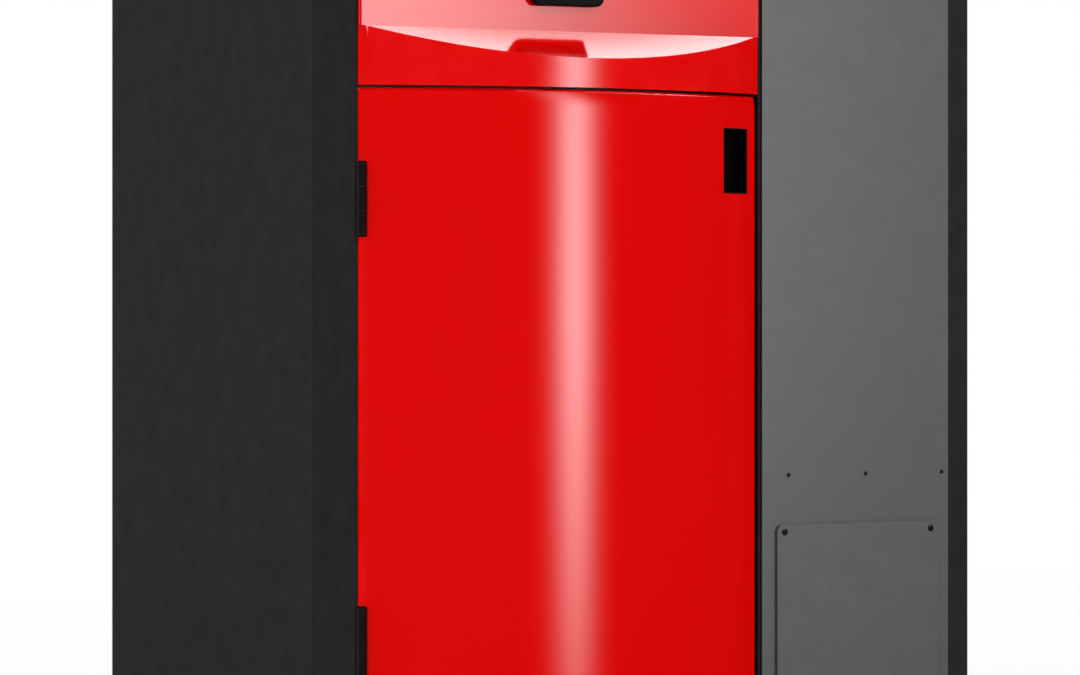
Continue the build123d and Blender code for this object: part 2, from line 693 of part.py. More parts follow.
def burner_pot():
    """Cast pot over the grate, with rows of air holes and the feed opening in its right wall."""
    zs = (FLOOR_TOP, POT_TOP)
    outer = block(around(0, POT_OUTER), around(BURNER_Y, POT_OUTER), zs)
    outer = fillet(outer.edges().filter_by(Axis.Z), 18)
    pot = outer - block(around(0, POT_INNER), around(BURNER_Y, POT_INNER), zs)
    pot -= bar((0, BURNER_Y, STOKER_HEIGHT), (POT_OUTER, BURNER_Y, STOKER_HEIGHT), SCREW_RADIUS + 2)
    igniter_y = BURNER_Y + IGNITER_OFFSET
    pot -= bar((0, igniter_y, STOKER_HEIGHT), (POT_OUTER, igniter_y, STOKER_HEIGHT), IGNITER_RADIUS + TOUCH)
    pot -= bar(
        (-POT_OUTER, BURNER_Y, GRATE_AXIS), (POT_OUTER / 2, BURNER_Y, GRATE_AXIS), GRATE_SHAFT + HINGE_PLAY
    )
    for z in (FLOOR_TOP + 45, FLOOR_TOP + 90):
        for i in range(5):
            y_hole = around(BURNER_Y + (i - 2) * 24, 9)
            pot -= block((-POT_OUTER, -POT_INNER / 2 + 1), y_hole, around(z, 9))
            x_hole = around((i - 2) * 24, 9)
            pot -= block(x_hole, (BURNER_Y - POT_OUTER, BURNER_Y - POT_INNER / 2 + 1), around(z, 9))
            pot -= block(x_hole, (BURNER_Y + POT_INNER / 2 - 1, BURNER_Y + POT_OUTER), around(z, 9))
    return pot


def tilting_grate():
    """Slotted grate plate on the shaft that tips it into the ash pit."""
    plate = block(around(0, GRATE_SIDE), around(BURNER_Y, GRATE_SIDE), around(GRATE_AXIS, GRATE_THICKNESS))
    for i in range(9):
        for y in (BURNER_Y - 40, BURNER_Y + 40):
            plate -= block(around((i - 4) * 14, 5), around(y, 50), (0, VESSEL_TOP))
    start = (-VESSEL_HALF - 30, BURNER_Y, GRATE_AXIS)
    return plate + bar(start, (POT_OUTER / 2 - 2, BURNER_Y, GRATE_AXIS), GRATE_SHAFT)


def grate_actuator():
    """Geared actuator on the vessel's left wall, around the end of the grate's shaft."""
    body = block((-VESSEL_HALF - 48, -VESSEL_HALF), around(BURNER_Y, 90), around(GRATE_AXIS, 90))
    body = fillet(body.edges().filter_by(Axis.X), 8)
    return body - bar(
        (-VESSEL_HALF - 31, BURNER_Y, GRATE_AXIS), (0, BURNER_Y, GRATE_AXIS), GRATE_SHAFT + HINGE_PLAY
    )


def igniter():
    """Hot-air igniter: a tube into the pot's wall, with its heater head outside the vessel."""
    y = BURNER_Y + IGNITER_OFFSET
    rod = pipe(
        (POT_INNER / 2 + 3, y, STOKER_HEIGHT),
        (VESSEL_HALF, y, STOKER_HEIGHT),
        IGNITER_RADIUS,
        IGNITER_RADIUS - 2,
    )
    head = block((VESSEL_HALF, HALF - 12), around(y + 4, 26), around(STOKER_HEIGHT, 34))
    return rod + head


# Fire door and ash drawer, behind the outer door


def fire_hinge_heights():
    """Middle heights of the fire door's two hinges."""
    return CHAMBER_BOTTOM + FIRE_HINGE_INSET, CHAMBER_TOP - FIRE_HINGE_INSET


def fire_hinge_lug(z):
    """A lug on the vessel's front that carries one hinge pin from below."""
    low = z - FIRE_HINGE_LENGTH / 2
    eye = bar((FIRE_HINGE_X, FIRE_HINGE_Y, low), (FIRE_HINGE_X, FIRE_HINGE_Y, z - 0.5), FIRE_HINGE_RADIUS)
    arm = block(around(FIRE_HINGE_X, 12), (FIRE_HINGE_Y, VESSEL_FRONT), (low, z - 0.5))
    return eye + arm - bar(
        (FIRE_HINGE_X, FIRE_HINGE_Y, low), (FIRE_HINGE_X, FIRE_HINGE_Y, z), FIRE_PIN_RADIUS
    )


def fire_door_span():
    """The fire door's outline: X and Z pairs."""
    xs = (-CHAMBER_HALF - FIRE_DOOR_MARGIN, CHAMBER_HALF + FIRE_DOOR_MARGIN)
    zs = (CHAMBER_BOTTOM - FIRE_DOOR_MARGIN + 4, CHAMBER_TOP + FIRE_DOOR_MARGIN)
    return xs, zs


def fire_door():
    """Insulated steel door over the combustion chamber, a folded tray with two hinge eyes."""
    xs, zs = fire_door_span()
    ys = (FIRE_DOOR_BACK - FIRE_DOOR_THICKNESS, FIRE_DOOR_BACK)
    door = tray(xs, ys, zs, 3.0, "+y")
    for z in fire_hinge_heights():
        high = z + FIRE_HINGE_LENGTH / 2
        eye = bar((FIRE_HINGE_X, FIRE_HINGE_Y, z), (FIRE_HINGE_X, FIRE_HINGE_Y, high), FIRE_HINGE_RADIUS)
        arm = block((FIRE_HINGE_X, xs[0] + 1), around(FIRE_HINGE_Y, 8), (z, high))
        door += eye + arm
        door -= bar(
            (FIRE_HINGE_X, FIRE_HINGE_Y, z),
            (FIRE_HINGE_X, FIRE_HINGE_Y, high),
            FIRE_PIN_RADIUS + HINGE_PLAY,
        )
    front = ys[0]
    door -= bar((LATCH_X, front - 1, LATCH_Z), (LATCH_X, FIRE_DOOR_BACK, LATCH_Z), LATCH_SHAFT + HINGE_PLAY)
    return door


def fire_door_insulation():
    """Vermiculite block that fills the fire door's tray and reaches into the chamber's mouth."""
    xs, zs = fire_door_span()
    inset = 3.0 + TOUCH
    front = FIRE_DOOR_BACK - FIRE_DOOR_THICKNESS + 3.0
    pad = block((xs[0] + inset, xs[1] - inset), (front, FIRE_DOOR_BACK - 6), (zs[0] + inset, zs[1] - inset))
    return pad - bar((LATCH_X, 0, LATCH_Z), (LATCH_X, VESSEL_FRONT, LATCH_Z), LATCH_SHAFT + 1)


def fire_door_seal():
    """Rope seal in the door's rim, round the chamber's mouth."""
    ys = (FIRE_DOOR_BACK - 6, VESSEL_FRONT - TOUCH)
    middle = FIRE_DOOR_MARGIN / 2 - 6
    outer = block(
        (-CHAMBER_HALF - middle - 5, CHAMBER_HALF + middle - 5),
        ys,
        (CHAMBER_BOTTOM - middle - 5, CHAMBER_TOP + middle + 5),
    )
    inner = block(
        (-CHAMBER_HALF - middle + 5, CHAMBER_HALF + middle - 15),
        ys,
        (CHAMBER_BOTTOM - middle + 5, CHAMBER_TOP + middle - 5),
    )
    return fillet(outer.edges().filter_by(Axis.Y), 14) - fillet(inner.edges().filter_by(Axis.Y), 5)


def fire_door_handle():
    """Latch lever: shaft through the door, a lever in front and a knob at its end."""
    front = FIRE_DOOR_BACK - FIRE_DOOR_THICKNESS
    shaft = bar((LATCH_X, front - 16, LATCH_Z), (LATCH_X, FIRE_DOOR_BACK - 4, LATCH_Z), LATCH_SHAFT)
    lever = block(around(LATCH_X, 14), (front - 16, front - 10), (LATCH_Z - 110, LATCH_Z + 10))
    lever = fillet(lever.edges().filter_by(Axis.Y), 5)
    knob = bar((LATCH_X, front - 40, LATCH_Z - 100), (LATCH_X, front - 16, LATCH_Z - 100), 11)
    knob = fillet(knob.edges().filter_by(GeomType.CIRCLE).sort_by(Axis.Y)[0], 4)
    return shaft + lever + knob


def hinge_pins():
    """Loose pins of the outer door, fire door and hopper lid hinges."""
    pins = []
    for z in HINGE_HEIGHTS:
        ends = around(z, HINGE_HEIGHT - 2)
        pins.append(
            bar((HINGE_X, -HINGE_FORWARD, ends[0]), (HINGE_X, -HINGE_FORWARD, ends[1]), HINGE_PIN_RADIUS)
        )
    for z in fire_hinge_heights():
        ends = around(z, FIRE_HINGE_LENGTH)
        pins.append(
            bar(
                (FIRE_HINGE_X, FIRE_HINGE_Y, ends[0]),
                (FIRE_HINGE_X, FIRE_HINGE_Y, ends[1]),
                FIRE_PIN_RADIUS,
            ),
        )
    for x in lid_hinge_places():
        xs = around(x, LID_HINGE_LENGTH)
        pins.append(
            bar(
                (xs[0], lid_hinge_y(), lid_hinge_z()), (xs[1], lid_hinge_y(), lid_hinge_z()), LID_PIN_RADIUS
            ),
        )
    return combine(pins)


def ash_drawer():
    """Ash box that slides out below the fire door, with its front plate and bow handle."""
    bottom = ASH_PIT_BOTTOM + TOUCH
    back = VESSEL_FRONT + DRAWER_DEPTH
    box = tray(
        around(0, DRAWER_WIDTH),
        (VESSEL_FRONT - 1, back),
        (bottom, bottom + DRAWER_HEIGHT),
        DRAWER_WALL,
        "+z",
    )
    plate = block(
        around(0, CHAMBER_WIDTH + 30),
        (VESSEL_FRONT - 1 - DRAWER_FRONT, VESSEL_FRONT - 1),
        (ASH_PIT_BOTTOM - 12, ASH_PIT_TOP - 4),
    )
    grip_z = bottom + DRAWER_HEIGHT * 0.6
    out = VESSEL_FRONT - 1 - DRAWER_FRONT
    for x in around(0, 2 * DRAWER_GRIP_HALF - 2 * DRAWER_GRIP_ROUND):
        plate += bar((x, out, grip_z), (x, out - DRAWER_GRIP_REACH, grip_z), DRAWER_GRIP_ROUND)
    grip_y = out - DRAWER_GRIP_REACH
    plate += bar((-DRAWER_GRIP_HALF, grip_y, grip_z), (DRAWER_GRIP_HALF, grip_y, grip_z), DRAWER_GRIP_ROUND)
    return box + plate


# Sheet panels of the boiler cabinet


def cheek(side):
    """Side of the front section: a flat sheet with a thick front hem. Side -1 is left, 1 is right."""
    outer = side * HALF
    hem_in = side * (HALF - CHEEK_THICKNESS)
    sheet_in = side * (HALF - SHEET)
    zs = (PANEL_BOTTOM, PANEL_TOP)
    hem = block(sorted((outer, hem_in)), (0, CHEEK_HEM), zs)
    sheet = block(sorted((outer, sheet_in)), (CHEEK_HEM, CHEEK_DEPTH - SEAM), zs)
    return hem + sheet


def side_panel(side):
    """Long side sheet with its top, bottom and rear edges folded in."""
    outer = side * HALF
    inner = side * (HALF - FLANGE)
    xs = sorted((outer, inner))
    ys = (CHEEK_DEPTH, CABINET_DEPTH - SHEET)
    opening = "+x" if side < 0 else "-x"
    panel = tray(xs, ys, (PANEL_BOTTOM, PANEL_TOP), SHEET, opening)
    if side > 0:
        panel -= bar(
            (0, BURNER_Y, STOKER_HEIGHT), (HOPPER_RIGHT, BURNER_Y, STOKER_HEIGHT), STOKER_OUTER + TOUCH
        )
    return panel


def pipe_places():
    """X and height of the water connections: flow, return and drain."""
    return [(PIPE_X, FLOW_HEIGHT), (PIPE_X, RETURN_HEIGHT), (DRAIN_X, DRAIN_HEIGHT)]


def rear_panel():
    """Rear sheet with openings for the flue neck and water connections, and cooling slots."""
    panel = block((-HALF, HALF), (CABINET_DEPTH - SHEET, CABINET_DEPTH), (PANEL_BOTTOM, PANEL_TOP))
    panel -= bar((0, 0, FAN_HEIGHT), (0, CABINET_DEPTH, FAN_HEIGHT), FAN_NECK_HOLE)
    for x, z in pipe_places():
        panel -= bar((x, VESSEL_BACK, z), (x, CABINET_DEPTH, z), PIPE_OUTER + TOUCH)
    for i in range(8):
        slot_z = around(VENT_BOTTOM + VENT_PITCH * i, VENT_SLOT)
        panel -= block(around(0, VENT_WIDTH), (VESSEL_BACK, CABINET_DEPTH), slot_z)
    panel -= block(
        around(SWITCH_X, SWITCH_HOLE[0]), (VESSEL_BACK, CABINET_DEPTH), around(SWITCH_Z, SWITCH_HOLE[1])
    )
    panel -= bar((GLAND_X, VESSEL_BACK, GLAND_Z), (GLAND_X, CABINET_DEPTH, GLAND_Z), GLAND_RADIUS)
    return panel


def top_cover():
    """Lift-off cover: a folded tray, upside down, on the panels' top edges."""
    cover = tray((-HALF, HALF), (0, CABINET_DEPTH), (PANEL_TOP, CABINET_TOP), SHEET, "-z")
    edges = [e for e in cover.edges() if e.center().Z > CABINET_TOP - 0.1 and abs(e.center().X) < HALF + 1]
    outer = [e for e in edges if abs(abs(e.center().X) - HALF) < 0.1 or e.center().Y < 0.1]
    return fillet(outer, 1.2)


def fascia_points(inset):
    """The fascia's (y, z) corners, moved inwards: ledge front, crease, panel top and ledge back."""
    slope = tan(radians(LEDGE_DROP_ANGLE))
    lean = tan(radians(PANEL_ANGLE))
    drop = inset / cos(radians(LEDGE_DROP_ANGLE))
    back_off = inset / sin(radians(PANEL_ANGLE))
    front = -FRONT_BULGE - FASCIA_LIP
    back = FASCIA_DEPTH + inset
    top = PANEL_TOP - inset
    # the inner crease lies where the two inset planes meet
    crease_y = (lean * back_off - drop) / (lean - slope)
    crease = (crease_y - CREASE_FORWARD, CREASE_HEIGHT - drop + slope * crease_y)

    def ledge_z(y):
        return CREASE_HEIGHT - drop + slope * (y + CREASE_FORWARD)

    panel_top = (back_off - CREASE_FORWARD + (top - CREASE_HEIGHT) / lean, top)
    return (front, ledge_z(front)), crease, panel_top, (back, ledge_z(back))


def fascia_block(inset):
    """The fascia's filled form: a curved band below the ledge, and the panel with rounded ends above."""
    xs = (-FRONT_HALF + inset, FRONT_HALF - inset)
    ledge_front, crease, panel_top, ledge_back = fascia_points(inset)
    bottom = FASCIA_BOTTOM + inset
    band_outline = [(ledge_front[0], bottom), ledge_front, ledge_back, (ledge_back[0], bottom)]
    band = side_profile(band_outline, xs) & front_curve(inset)
    panel = side_profile([crease, panel_top, (ledge_back[0], panel_top[1]), ledge_back], xs)
    ends = [edge for edge in panel.edges() if edge.length > PANEL_TOP - CREASE_HEIGHT - FASCIA_DEPTH]
    ends = [
        edge for edge in ends if edge.center().Y < FASCIA_DEPTH / 2 and abs(edge.center().X) > xs[1] - 1
    ]
    return band + fillet(ends, FASCIA_CORNER - inset)


def display_plane():
    """Plane of the slanted panel's outer face, its origin at the display's lower edge, +Y up the panel."""
    along = DISPLAY_ABOVE_CREASE
    y = -CREASE_FORWARD + along * cos(radians(PANEL_ANGLE))
    z = CREASE_HEIGHT + along * sin(radians(PANEL_ANGLE))
    normal = (0, -sin(radians(PANEL_ANGLE)), cos(radians(PANEL_ANGLE)))
    return Plane(origin=(0, y, z), x_dir=(1, 0, 0), z_dir=normal)


def front_fascia():
    """Pressed front above the door: curved band, inclined ledge and slanted display panel."""
    mouth_xs = (-FRONT_HALF + FASCIA_LIP, FRONT_HALF - FASCIA_LIP)
    mouth = block(
        mouth_xs, (-FRONT_BULGE, FASCIA_DEPTH), (FASCIA_BOTTOM - 1, FASCIA_BOTTOM + 2 * FRONT_SHEET)
    )
    fascia = fascia_block(0) - fascia_block(FRONT_SHEET) - (mouth & front_curve(FASCIA_LIP))
    tab_z = (FASCIA_BOTTOM + TAB_ABOVE_BOTTOM, FASCIA_BOTTOM + TAB_ABOVE_BOTTOM + TAB_HEIGHT)
    tab_in = HALF - CHEEK_THICKNESS
    for side in (-1, 1):
        fascia += block(
            sorted((side * FRONT_HALF, side * tab_in)), around(FASCIA_DEPTH - TAB_WIDTH, TAB_WIDTH), tab_z
        )
    plane = display_plane()
    hole = plane * Pos(0, DISPLAY_HEIGHT / 2, -10) * Box(
        DISPLAY_WIDTH - 2 * DISPLAY_RIM, DISPLAY_HEIGHT - 2 * DISPLAY_RIM, 30
    )
    return fascia - hole


def display_housing():
    """Moulded display case on the slanted panel, with a recess for the screen."""
    plane = display_plane()
    sketch = Pos(0, DISPLAY_HEIGHT / 2) * RectangleRounded(DISPLAY_WIDTH, DISPLAY_HEIGHT, DISPLAY_CORNER)
    case = extrude(plane * sketch, DISPLAY_PROUD)
    rim = case.faces().sort_by(Axis.Y)[0].edges()
    case = fillet(rim, 2.5)
    tower = Pos(0, DISPLAY_HEIGHT / 2, -8) * Box(
        DISPLAY_WIDTH - 2 * DISPLAY_RIM - 2, DISPLAY_HEIGHT - 2 * DISPLAY_RIM - 2, 16
    )
    case += plane * tower
    recess = Pos(0, screen_middle(), DISPLAY_PROUD) * Box(SCREEN_WIDTH, SCREEN_HEIGHT, 2 * SCREEN_THICKNESS)
    return case - plane * recess


def screen_middle():
    """Height of the screen's middle above the display's lower edge, along the panel."""
    return DISPLAY_HEIGHT - 12 - SCREEN_HEIGHT / 2


def display_screen():
    """Glass of the touch display, in the case's recess."""
    glass = Box(SCREEN_WIDTH - 2 * TOUCH, SCREEN_HEIGHT - 2 * TOUCH, SCREEN_THICKNESS - 0.4)
    place = Pos(0, screen_middle(), DISPLAY_PROUD - SCREEN_THICKNESS + (SCREEN_THICKNESS - 0.4) / 2)
    return display_plane() * place * glass


def control_box():
    """Closed housing of the electronics, bolted to the vessel's front above the fire door."""
    box = block(
        around(0, CONTROL_BOX_WIDTH), (FASCIA_DEPTH + 8, VESSEL_FRONT), (FASCIA_BOTTOM + 10, VESSEL_TOP - 5)
    )
    return fillet(box.edges().filter_by(Axis.Z), 6)


def plinth_panel():
    """Narrow cover below the door, in front of the base frame."""
    return tray(
        (-FRONT_HALF, FRONT_HALF),
        (-PLINTH_DEPTH, 0),
        (FOOT_HEIGHT + 2, DOOR_BOTTOM - DOOR_GAP),
        SHEET,
        "+y",
    )


# Outer door


def hinge_notches():
    """Cut-outs in the door's left edge that make room for the hinges."""
    xs = (DOOR_LEFT - 5, DOOR_LEFT + HINGE_NOTCH)
    ys = (-FRONT_BULGE, DOOR_FLANGE + 5)
    return [block(xs, ys, around(z, HINGE_HEIGHT + 2 * NOTCH_GAP)) for z in HINGE_HEIGHTS]


def grip_window(inset):
    """The grip's rectangular way through the door skin, shrunk by inset."""
    top = DOOR_TOP - GRIP_BELOW_TOP
    xs = (GRIP_LEFT + inset, GRIP_LEFT + GRIP_WIDTH - inset)
    zs = (top - GRIP_HEIGHT + inset, top - inset)
    return xs, zs


def front_door():
    """Curved door skin with folded edges, cut out for the grip and the hinges."""
    xs = (DOOR_LEFT, DOOR_RIGHT)
    zs = (DOOR_BOTTOM, DOOR_TOP)
    outer = block(xs, (-FRONT_BULGE - 5, DOOR_FLANGE), zs) & front_curve()
    rim = [edge for edge in outer.edges() if edge.center().Y < 1]
    outer = fillet(rim, EDGE_ROUND)
    inner_xs = (xs[0] + FRONT_SHEET, xs[1] - FRONT_SHEET)
    inner_zs = (zs[0] + FRONT_SHEET, zs[1] - FRONT_SHEET)
    inner = block(inner_xs, (-FRONT_BULGE, DOOR_FLANGE + 5), inner_zs) & front_curve(FRONT_SHEET)
    rim = [edge for edge in inner.edges() if edge.center().Y < 1]
    inner = fillet(rim, EDGE_ROUND - FRONT_SHEET)
    door = outer - inner
    for notch in hinge_notches():
        door -= notch
    grip_xs, grip_zs = grip_window(0)
    return door - block(grip_xs, (-FRONT_BULGE, DOOR_FLANGE - 3), grip_zs)


def door_liner():
    """Inner sheet of the door, let in between its folded edges."""
    inset = FRONT_SHEET + LINER_CLEARANCE
    xs = (DOOR_LEFT + inset, DOOR_RIGHT - inset)
    zs = (DOOR_BOTTOM + inset, DOOR_TOP - inset)
    liner = tray(xs, (DOOR_FLANGE - 12, DOOR_FLANGE), zs, SHEET, "-y")
    for notch in hinge_notches():
        liner -= notch
    grip_xs, grip_zs = grip_window(-1)
    return liner - block(grip_xs, (0, DOOR_FLANGE - SHEET), grip_zs)


def grip_cup():
    """Black finger cup behind the grip's window, open towards the front."""
    xs, zs = grip_window(TOUCH)
    back = DOOR_FLANGE - SHEET - TOUCH
    cup = block(xs, (-FRONT_BULGE, back), zs) & front_curve()
    wall = GRIP_WALL
    cavity = block((xs[0] + wall, xs[1] - wall), (-FRONT_BULGE, back - wall), (zs[0] + wall, zs[1] - wall))
    return cup - cavity


def knuckle(z, low, high):
    """One ribbed knuckle of a door hinge between two heights measured from the hinge's middle."""
    at = (HINGE_X, -HINGE_FORWARD)
    shape = bar((*at, z + low), (*at, z + high), HINGE_RADIUS - 0.6)
    for turn in (-125, -90, -55, -20, 15, 50, 85, 120, 155, -160):
        x = at[0] + (HINGE_RADIUS - 0.9) * cos(radians(turn))
        y = at[1] + (HINGE_RADIUS - 0.9) * sin(radians(turn))
        shape += bar((x, y, z + low), (x, y, z + high), 0.9)
    return shape


def pin_hole(z, play):
    """The way for a door hinge's pin."""
    ends = around(z, HINGE_HEIGHT + 2)
    return bar(
        (HINGE_X, -HINGE_FORWARD, ends[0]), (HINGE_X, -HINGE_FORWARD, ends[1]), HINGE_PIN_RADIUS + play
    )


def hinge_frame_halves():
    """Upper and lower knuckles of both hinges, on leaves fixed to the left cheek."""
    halves = []
    third = HINGE_HEIGHT / 6
    cheek_in = -HALF + CHEEK_THICKNESS
    for z in HINGE_HEIGHTS:
        half = knuckle(z, third + KNUCKLE_GAP / 2, HINGE_HEIGHT / 2)
        half += knuckle(z, -HINGE_HEIGHT / 2, -third - KNUCKLE_GAP / 2)
        leaf = block(
            (cheek_in, cheek_in + HINGE_LEAF), (-HINGE_FORWARD + 2, DOOR_FLANGE), around(z, HINGE_HEIGHT)
        )
        room = block(
            (cheek_in, DOOR_LEFT + HINGE_NOTCH), (-HINGE_FORWARD, 1.5), around(z, 2 * third + KNUCKLE_GAP)
        )
        halves.append(half + (leaf - room) - pin_hole(z, 0))
    return combine(halves)


def hinge_door_halves():
    """Middle knuckles of both hinges, on brackets behind the door skin."""
    halves = []
    third = HINGE_HEIGHT / 6
    reach = DOOR_LEFT + 35
    for z in HINGE_HEIGHTS:
        zs = around(z, 2 * third - KNUCKLE_GAP)
        half = knuckle(z, -third + KNUCKLE_GAP / 2, third - KNUCKLE_GAP / 2)
        half += block((HINGE_X, reach), (1.0, 3.5), zs)
        half += block((HINGE_X + 2.5, HINGE_X + 5.5), (-HINGE_FORWARD, 3.5), zs)
        half += block((reach - 3, reach), (3.5, DOOR_FLANGE - SHEET), zs)
        halves.append(half - pin_hole(z, HINGE_PLAY))
    return combine(halves)


def door_magnets():
    """Two magnetic catches on the right cheek."""
    inner = HALF - CHEEK_THICKNESS
    magnets = []
    for z in HINGE_HEIGHTS:
        body = block((inner - 16, inner), (DOOR_FLANGE + 0.5, DOOR_FLANGE + 14), around(z, 48))
        magnets.append(fillet(body.edges().filter_by(Axis.Y), 3))
    return combine(magnets)


# Rear: flue fan, water connections, switch and cable gland


def fan_slab(start, end):
    """Everything between two Y values, to cut the fan case into its plates."""
    return block((-CABINET_WIDTH, CABINET_WIDTH), (start, end), (0, CABINET_TOP))


def flue_fan_housing():
    """Fan case welded from two side plates, a rim, a neck from the vessel and an upright outlet collar."""
    middle = (0, FAN_FRONT, FAN_HEIGHT)
    inner_ys = (FAN_FRONT + FAN_WALL, FAN_BACK - FAN_WALL)
    collar_y = FAN_FRONT + FLUE_RADIUS + FAN_WALL
    top = FAN_HEIGHT + FAN_DRUM_RADIUS + 10
    outlet_width = 2 * FLUE_RADIUS - 6
    case = bar(middle, (0, FAN_BACK, FAN_HEIGHT), FAN_DRUM_RADIUS)
    case += block(around(FLUE_X, outlet_width), (FAN_FRONT, FAN_BACK), (FAN_HEIGHT, top))
    inside = bar((0, inner_ys[0], FAN_HEIGHT), (0, inner_ys[1], FAN_HEIGHT), FAN_DRUM_RADIUS - FAN_WALL)
    slot = block(around(FLUE_X, outlet_width - 2 * FAN_WALL), inner_ys, (FAN_HEIGHT, top + FLUE_PLATE + 1))
    case -= inside + slot
    case -= bar((0, VESSEL_BACK, FAN_HEIGHT), (0, inner_ys[0], FAN_HEIGHT), FAN_NECK_RADIUS - FAN_WALL)
    case -= bar((0, inner_ys[0], FAN_HEIGHT), (0, REAR_END, FAN_HEIGHT), FAN_SHAFT + FAN_SHAFT_GAP)
    neck = pipe((0, VESSEL_BACK, FAN_HEIGHT), middle, FAN_NECK_RADIUS, FAN_NECK_RADIUS - FAN_WALL)
    plate_ys = (FAN_FRONT, collar_y + FLUE_RADIUS + 5)
    outlet = block(around(FLUE_X, 2 * FLUE_RADIUS + 10), plate_ys, (top, top + FLUE_PLATE)) - slot
    collar_start = (FLUE_X, collar_y, top + FLUE_PLATE)
    collar_end = (FLUE_X, collar_y, top + FLUE_COLLAR)
    collar = pipe(collar_start, collar_end, FLUE_RADIUS + FAN_WALL, FLUE_RADIUS)
    plates = [case & fan_slab(*ys) for ys in ((FAN_FRONT, inner_ys[0]), inner_ys, (inner_ys[1], FAN_BACK))]
    return combine([*plates, neck, outlet, collar])


def flue_fan_impeller():
    """Backward-curved impeller between the fan case's walls, on its shaft."""
    front = FAN_FRONT + FAN_WALL + 4
    back = FAN_BACK - FAN_WALL - 4
    wheel = bar((0, back - 3, FAN_HEIGHT), (0, back, FAN_HEIGHT), IMPELLER_RADIUS)
    wheel += bar((0, front + 8, FAN_HEIGHT), (0, FAN_BACK + 10, FAN_HEIGHT), 5.5)
    wheel += bar((0, front + 8, FAN_HEIGHT), (0, back, FAN_HEIGHT), 16)
    plane = Plane(origin=(0, back - 1, FAN_HEIGHT), x_dir=(1, 0, 0), z_dir=(0, -1, 0))
    for i in range(IMPELLER_BLADES):
        turn = 360 * i / IMPELLER_BLADES
        ends = ((38, 0), (68, 12), (IMPELLER_RADIUS - 2, 40))
        line = ThreePointArc(*ends)
        blade = extrude(plane * Rot(0, 0, turn) * make_face(offset(line, 1.2).edges()), back - 1 - front)
        wheel += blade
    return wheel


def flue_fan_motor():
    """Fan motor with cooling ribs, on the back of the fan case."""
    motor = bar((0, FAN_BACK, FAN_HEIGHT), (0, REAR_END, FAN_HEIGHT), FAN_MOTOR_RADIUS)
    for i in range(5):
        y = FAN_BACK + 14 + 9 * i
        motor -= pipe(
            (0, y, FAN_HEIGHT), (0, y + 4, FAN_HEIGHT), FAN_MOTOR_RADIUS + 1, FAN_MOTOR_RADIUS - 4
        )
    flange = bar((0, FAN_BACK, FAN_HEIGHT), (0, FAN_BACK + 4, FAN_HEIGHT), FAN_MOTOR_RADIUS + 14)
    return motor + flange - bar((0, FAN_BACK, FAN_HEIGHT), (0, FAN_BACK + 11, FAN_HEIGHT), 5.5 + HINGE_PLAY)


def pipe_sockets():
    """Threaded steel sockets of the flow and return, from the vessel through the rear panel."""
    sockets = []
    end = CABINET_DEPTH + PIPE_REACH
    for x, z in pipe_places()[:2]:
        socket = pipe((x, VESSEL_BACK - PLATE, z), (x, end, z), PIPE_OUTER, PIPE_BORE)
        hexagon = Plane(
            origin=(x, end - 14, z), x_dir=(1, 0, 0), z_dir=(0, 1, 0)
        ) * RegularPolygon(SOCKET_HEXAGON, 6)
        collar = extrude(hexagon, 14) - bar((x, end - 20, z), (x, end, z), PIPE_BORE)
        sockets.append(socket + collar)
    return combine(sockets)


def drain_valve():
    """Brass ball valve on the drain pipe, with its hose end at the back."""
    x, z = DRAIN_X, DRAIN_HEIGHT
    end = CABINET_DEPTH + DRAIN_LENGTH
    body = bar((x, VESSEL_BACK, z), (x, end, z), 13)
    body += bar((x, VESSEL_BACK - PLATE, z), (x, VESSEL_BACK, z), PIPE_OUTER)
    middle = CABINET_DEPTH + DRAIN_LENGTH / 2
    body += Pos(x, middle, z) * Sphere(19)
    body += bar((x, middle, z), (x, middle, z + 26), 8)
    return body - bar((x, VESSEL_BACK - PLATE, z), (x, end, z), 7.5) - bar(
        (x, middle, z + 20), (x, middle, z + 26), 3 + HINGE_PLAY
    )


def drain_valve_lever():
    """Lever of the drain valve, on its stem."""
    x, z = DRAIN_X, DRAIN_HEIGHT + 26 + TOUCH
    y = CABINET_DEPTH + DRAIN_LENGTH / 2
    lever = block((x - 9, x + 58), around(y, 18), (z, z + 4))
    lever = fillet(lever.edges().filter_by(Axis.Z), 8)
    return lever + bar((x, y, z - 6), (x, y, z + 7), 3)


def main_switch_frame():
    """Snap-in frame of the mains switch, through the rear panel."""
    outer = block(
        around(SWITCH_X, SWITCH_HOLE[0] - 0.4),
        (CABINET_DEPTH - 12, CABINET_DEPTH),
        around(SWITCH_Z, SWITCH_HOLE[1] - 0.4),
    )
    rim = block(
        around(SWITCH_X, SWITCH_HOLE[0] + 6),
        (CABINET_DEPTH, CABINET_DEPTH + 2),
        around(SWITCH_Z, SWITCH_HOLE[1] + 6),
    )
    hole = block(
        around(SWITCH_X, SWITCH_HOLE[0] - 4),
        (CABINET_DEPTH - 9, CABINET_DEPTH + 3),
        around(SWITCH_Z, SWITCH_HOLE[1] - 4),
    )
    return outer + rim - hole


def main_switch_rocker():
    """Rocker of the mains switch."""
    width = SWITCH_HOLE[0] - 5
    half = (SWITCH_HOLE[1] - 6) / 2
    y = CABINET_DEPTH
    outline = [(y - 4, SWITCH_Z - half + 2), (y + 4.5, SWITCH_Z - half + 1), (y + 1.5, SWITCH_Z),
               (y + 2.5, SWITCH_Z + half - 1), (y - 4, SWITCH_Z + half - 2)]
    return side_profile(outline, around(SWITCH_X, width))


